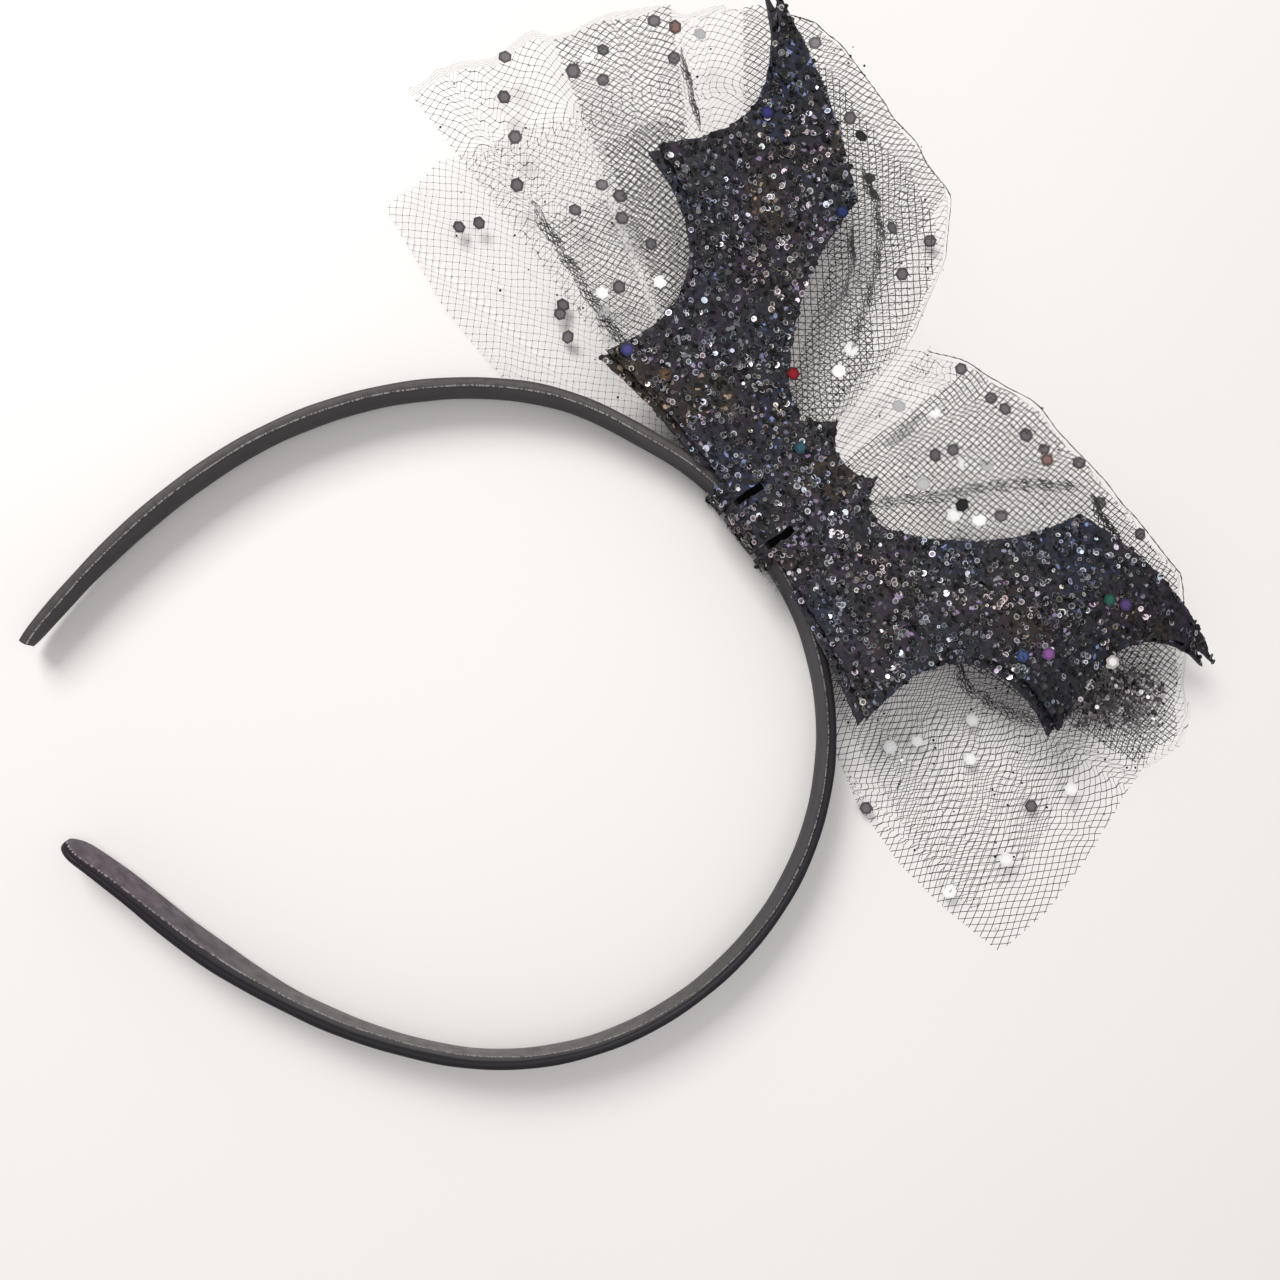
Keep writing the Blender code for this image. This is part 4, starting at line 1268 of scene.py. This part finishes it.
for number, (wide, *places) in enumerate(TUCKS):
    corners = np.array([over_net(x, y, TUCK_RISE) for x, y in places])
    far = distance_along(corners)
    steps = np.linspace(0, far[-1], max(20, int(far[-1] / TUCK_STEP)))
    middle_line = np.stack([np.interp(steps, far, corners[:, k]) for k in range(3)], -1)
    middle_line[:, 0] += 0.17 * wide * MM * np.sin(steps / (1.1 * MM) + number)
    middle_line[:, 1] += 0.12 * wide * MM * np.sin(steps / (0.7 * MM) + 2 * number)
    way = unit(np.gradient(middle_line[:, :2], axis=0))
    beside = np.stack([-way[:, 1], way[:, 0]], -1)
    across_tuck = np.linspace(-0.5, 0.5, TUCK_COLUMNS)
    taper = np.sqrt(np.clip(np.minimum(steps, far[-1] - steps) / TUCK_TAPER, 0.08, 1))[:, None]
    swing = draws.uniform(0, 6.3)
    wander = 0.35 * np.sin(steps / (2.3 * MM) + swing)[:, None]
    sway = 0.9 * np.sin(steps / (1.7 * MM))[:, None] + wander
    zigzag = np.sin(2 * math.pi * TUCK_TURNS * across_tuck + sway)
    ridge = TUCK_RISE * taper * (zigzag + 0.35 * np.cos(2 * math.pi * across_tuck))
    off_line = across_tuck * (1 + wander * 0.3) * taper
    plan = middle_line[:, None, :2] + beside[:, None] * off_line[..., None] * wide * MM
    tuck_points = at_height(plan, middle_line[:, None, 2] + ridge)
    out_run = distance_along(tuck_points)
    tuck_faces = grid_faces(len(steps), TUCK_COLUMNS)
    tuck = new_piece(f"net_tuck_{number}", tuck_points, tuck_faces, net_tuck)
    tuck_flat = np.stack([steps[:, None] + 0 * out_run, out_run], -1)
    set_uv(tuck, tuck_flat / FLAT_SPAN + 0.1 * number)
    tuck.visible_shadow = False

# Rolled hems: the fans' right rims are turned in on themselves, and each shows as a thin dark
# edge. It is made as a solid round edge whose thickness is uneven.
HEM_RADIUS = 0.11 * MM
HEM_SINK = 0.2 * MM  # below the net's own surface
HEM_SIDES = 6
HEM_STEP_DEG = 0.25
LOWEST_HEM = 0.3 * MM  # above the table
HEMS = (  # leaf, lowest_azimuth_deg, highest_azimuth_deg
    (LEFT_OVER_LEAF, 48.6, 86.0),
    (RIGHT_OVER_LEAF, -12.0, 44.6),
)
hem_paint = Paint("hem", Base_Color=(0.040, 0.037, 0.039, 1), Roughness=0.7)
for number, ((table_rows, reach, over), low_turn, high_turn) in enumerate(HEMS):
    hem_turns = np.arange(low_turn, high_turn, HEM_STEP_DEG)
    hem_r = reach * rim(table_rows, hem_turns) + draws.normal(0, 0.03, len(hem_turns)) * MM
    hem_z = net_height(table_rows, hem_turns, hem_r, over) - HEM_SINK
    hem_a = np.radians(hem_turns)
    hem_line = at_height(polar(hem_r, hem_a), np.maximum(hem_z, LOWEST_HEM))
    ring_a = np.linspace(0, 2 * math.pi, HEM_SIDES + 1)[:-1]
    thick = HEM_RADIUS * draws.uniform(0.5, 1.5, len(hem_turns))[:, None]
    ring = at_height(polar(thick * np.cos(ring_a), hem_a[:, None]), thick * np.sin(ring_a))
    hem_faces = tube_faces(len(hem_turns), HEM_SIDES)
    face_out(new_piece(f"net_hem_{number}", hem_line[:, None] + ring, hem_faces, hem_paint))

# Glitter dust: specks caught in the net, most of them dark. Under the right wing they lie so
# thick that they look like a brown tuft.
SPECK_RADIUS = (0.11 * MM, 0.30 * MM)
TUFT_MIDDLE = (1112, 695)  # picture place
TUFT_WIDE = 5.3 * MM
TUFT_HIGH = 2.8 * MM
TUFT_LIMIT = 2.1  # times its width and height
SPECKS = (  # count, lowest_azimuth_deg, highest_azimuth_deg, nearest_mm, farthest_mm, white_share
    (190, 50, 140, 20, 100, 0.10),
    (110, -8, 44, 20, 76, 0.15),
    (90, -31, -15, 66, 92, 0.30),
    (90, -62, -18, 20, 90, 0.30),
)
TUFT_SPECKS = 650
TUFT_RADIUS = (0.25 * MM, 0.60 * MM)
TUFT_TONES = [0.05, 0.12, 0.26, 0.85]
TUFT_SHARES = [0.36, 0.34, 0.24, 0.06]
SPECK_LIFT = 0.25 * MM
SPECK_SHAPE = (6, 0.05 * MM, 0.3)  # sides, thickness, dish
speck_spots, speck_rims = [], []
for count, low_turn, high_turn, nearest, farthest, white_share in SPECKS:
    for _ in range(count):
        turn = math.radians(draws.uniform(low_turn, high_turn))
        plan = polar(math.sqrt(draws.uniform(nearest**2, farthest**2)) * MM, turn)
        height = net_under(plan)
        if height > 1.01 * NO_NET:
            speck_spots.append((*plan, height + SPECK_LIFT))
            white = draws.uniform() < white_share
            speck_rims.append(draws.uniform(0.5, 0.9) if white else draws.uniform(0.01, 0.05))
tuft_at = seen_at(*TUFT_MIDDLE, 5 * MM)
loose = len(speck_spots)
tuft_spread = np.clip(draws.normal(0, 1, (TUFT_SPECKS, 2)), -TUFT_LIMIT, TUFT_LIMIT)
for offset in tuft_spread * (TUFT_WIDE, TUFT_HIGH):
    height = net_under(tuft_at + offset)
    if height > 1.01 * NO_NET:
        speck_spots.append((*(tuft_at + offset), height + draws.uniform(0.2, 1.0) * MM))
        speck_rims.append(draws.choice(TUFT_TONES, p=TUFT_SHARES))
speck_ways = unit(draws.normal(0, 0.3, (len(speck_spots), 3)) + (0, 0, 1))
speck_radii = draws.uniform(*SPECK_RADIUS, len(speck_spots))
speck_radii[loose:] = draws.uniform(*TUFT_RADIUS, len(speck_spots) - loose)
speck_tones = np.array(speck_rims)[:, None] * (0.98, 0.88, 0.92)
plates(
    "net_specks",
    np.array(speck_spots),
    speck_ways,
    speck_radii,
    SPECK_SHAPE,
    (speck_tones, speck_tones * 0.6),
    flake_paint,
    draws,
)

# Glints: single white flakes in the brown tuft, and three curls stuck on the hoop's rim; and
# the frayed hairs that stand out from under the bat's fingers.
GLINTS = (  # picture_x, picture_y, radius_mm
    (1116, 686, 0.45),
    (1141, 692, 0.55),
    (1148, 697, 0.40),
    (1097, 707, 0.45),
    (1122, 708, 0.35),
    (1153, 719, 0.40),
    (1126, 727, 0.35),
    (1060, 679, 0.30),
    (789, 573, 0.45),
    (795, 579, 0.35),
    (799, 571, 0.50),
)
GLINT_LIFT = 1.3 * MM  # above the net
NET_FROM = 1000  # picture_x past which a glint lies on the net, not on the hoop
FRAY_FROM = (760, 556)  # picture place
FRAY_TO = (781, 590)
FRAY_HEIGHT = 8 * MM
FRAY_HAIRS = 90
glint_spots = []
for x, y, _ in GLINTS:
    height = FRONT_MIDDLE + BAT_WALL
    if x > NET_FROM:
        glint_spots.append(over_net(x, y, GLINT_LIFT, height))
    else:
        glint_spots.append((*seen_at(x, y, height), height))
glint_ways = unit(draws.normal(0, 0.25, (len(GLINTS), 3)) + (0, 0, 1))
glint_radii = np.array([row[2] for row in GLINTS]) * MM
white = np.full((len(GLINTS), 3), 0.88)
glint_shape = (6, FLAKE_THICK, 0.5)
glint_spots = np.array(glint_spots)
plates(
    "net_glints", glint_spots, glint_ways, glint_radii, glint_shape, (white, white), flake_paint, draws
)
fray_share = draws.uniform(0, 1, FRAY_HAIRS)[:, None]
fray_spots = np.array(FRAY_FROM) * (1 - fray_share) + np.array(FRAY_TO) * fray_share
fray_plan = np.array([seen_at(x, y, FRAY_HEIGHT) for x, y in fray_spots.tolist()])
fray_starts = at_height(fray_plan, np.full(FRAY_HAIRS, FRAY_HEIGHT))
fray_ways = unit(draws.normal(0, 0.7, (FRAY_HAIRS, 3)) + (-0.8, -0.6, 0.3))
fray_lengths = draws.uniform(0.6, 2.2, FRAY_HAIRS) * MM
fibres("frayed_hairs", fray_starts, fray_ways, fray_lengths, FIBRE_RADIUS, felt, draws)

# Pinched middle of the bow: where the net is gathered and tied behind the bat's body. It is
# a bundle of close dark pleats.
GATHER_WIDTH = 16 * MM
GATHER_HEIGHT = 8 * MM
GATHER_FOOT = 0.8 * MM
GATHER_PLEATS = 7
GATHER_FOLDS = 31  # the finer ones
GATHER_STEPS = (60, 126)  # along it, round it
gather_near = BAND_THICK + 2 * GAP + FELT_THICK
gather_u = np.linspace(-1, 1, GATHER_STEPS[0])[:, None]
gather_a = np.linspace(0, 2 * math.pi, GATHER_STEPS[1] + 1)[:-1][None, :]
gather_full = np.sqrt(np.maximum(0, 1 - (gather_u * 0.93) ** 2)) * 0.55 + 0.45
gather_pleat = 1 - 0.07 * (1 - np.cos(GATHER_PLEATS * gather_a)) / 2
gather_pleat = gather_pleat - 0.02 * (1 + np.cos(GATHER_FOLDS * gather_a + 9 * gather_u))
gather_far = np.sqrt((NET_START - 2 * GAP) ** 2 - (gather_u * GATHER_WIDTH / 2) ** 2)
gather_size = (gather_far - gather_near) / 2 * gather_full * gather_pleat
gather_v = (gather_near + gather_far) / 2 + gather_size * np.cos(gather_a)
gather_z = GATHER_FOOT + GATHER_HEIGHT / 2 * (1 + gather_full * gather_pleat * np.sin(gather_a))
gather_across = (gather_u * GATHER_WIDTH / 2 + 0 * gather_a)[..., None] * U_AXIS
gather_points = at_height(gather_across + gather_v[..., None] * V_AXIS, gather_z)
gathered = Paint("gathered_net", Roughness=0.8, Sheen_Weight=0.4)
meshes = {"Vector": gathered.place(), "Scale": 1100.0}
threads = gathered.add("ShaderNodeTexVoronoi", {"feature": "DISTANCE_TO_EDGE"}, meshes)
gathered.feed(
    Base_Color=gathered.ramp(threads, (0.02, (0.060, 0.056, 0.058)), (0.2, (0.010, 0.010, 0.011))),
    Normal=gathered.bump(0.8, 0.0002, 1 - threads),
)
gather = new_piece("gathered_middle", gather_points, tube_faces(*GATHER_STEPS), gathered)
face_out(gather)
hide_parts("tulle_gather")

# Sequins: thin hexagons of film stuck on the net, where the picture shows them. They are
# dark, rose, grey or white, as each catches the light.
SEQUIN_RADIUS = 1.36 * MM
SEQUIN_SHAPE = (6, 0.09 * MM, 0.3)  # sides, thickness, dish
SEQUIN_LIFT = 0.9 * MM  # above the net
TONES = {
    "dark": (0.135, 0.122, 0.130),
    "black": (0.012, 0.012, 0.013),
    "grey": (0.42, 0.42, 0.42),
    "white": (0.88, 0.88, 0.87),
    "rose": (0.22, 0.13, 0.115),
}
SEQUINS = {  # tone: picture places
    "dark": (
        (505, 57), (504, 97), (515, 137), (517, 185), (459, 227), (479, 223), (603, 50), (573, 71),
        (603, 80), (654, 21), (674, 58), (602, 185), (620, 196), (622, 218), (575, 210), (651, 244),
        (619, 287), (563, 305), (560, 314), (568, 337), (815, 43), (850, 118), (892, 228), (930, 241),
        (902, 274), (961, 369), (991, 398), (1005, 409), (1026, 435), (1044, 449), (1079, 463),
        (953, 450), (935, 455), (1001, 516), (1100, 503), (1140, 534), (866, 808), (1031, 806),
    ),
    "rose": ((675, 27), (1047, 460)),
    "black": ((861, 136), (870, 178), (962, 505)),
    "grey": ((700, 34), (603, 312), (987, 466), (923, 484), (899, 406), (1165, 640)),
    "white": (
        (588, 57), (660, 282), (602, 293), (839, 371), (851, 349), (963, 464), (954, 515), (979, 520),
        (934, 412), (890, 747), (917, 741), (972, 720), (970, 759), (1071, 789), (1006, 859), (1111, 663),
        (1089, 684), (949, 891),
    ),
}  # fmt: skip
sequin_paint = toned_paint("sequins", Roughness=0.5, Metallic=0.15, Specular_IOR_Level=0.4)
spots, ways, tones = [], [], []
for tone, places in SEQUINS.items():
    for x, y in places:
        spots.append(over_net(x, y, SEQUIN_LIFT))
        ways.append(Vector((*draws.normal(0, 0.16, 2), 1)).normalized())
        tones.append(TONES[tone])
tones = np.array(tones)
plates(
    "sequins",
    np.array(spots),
    np.array(ways),
    draws.normal(SEQUIN_RADIUS, 0.06 * MM, len(spots)),
    SEQUIN_SHAPE,
    (tones * np.where(tones < 0.3, 0.45, 0.9), tones),
    sequin_paint,
    draws,
)
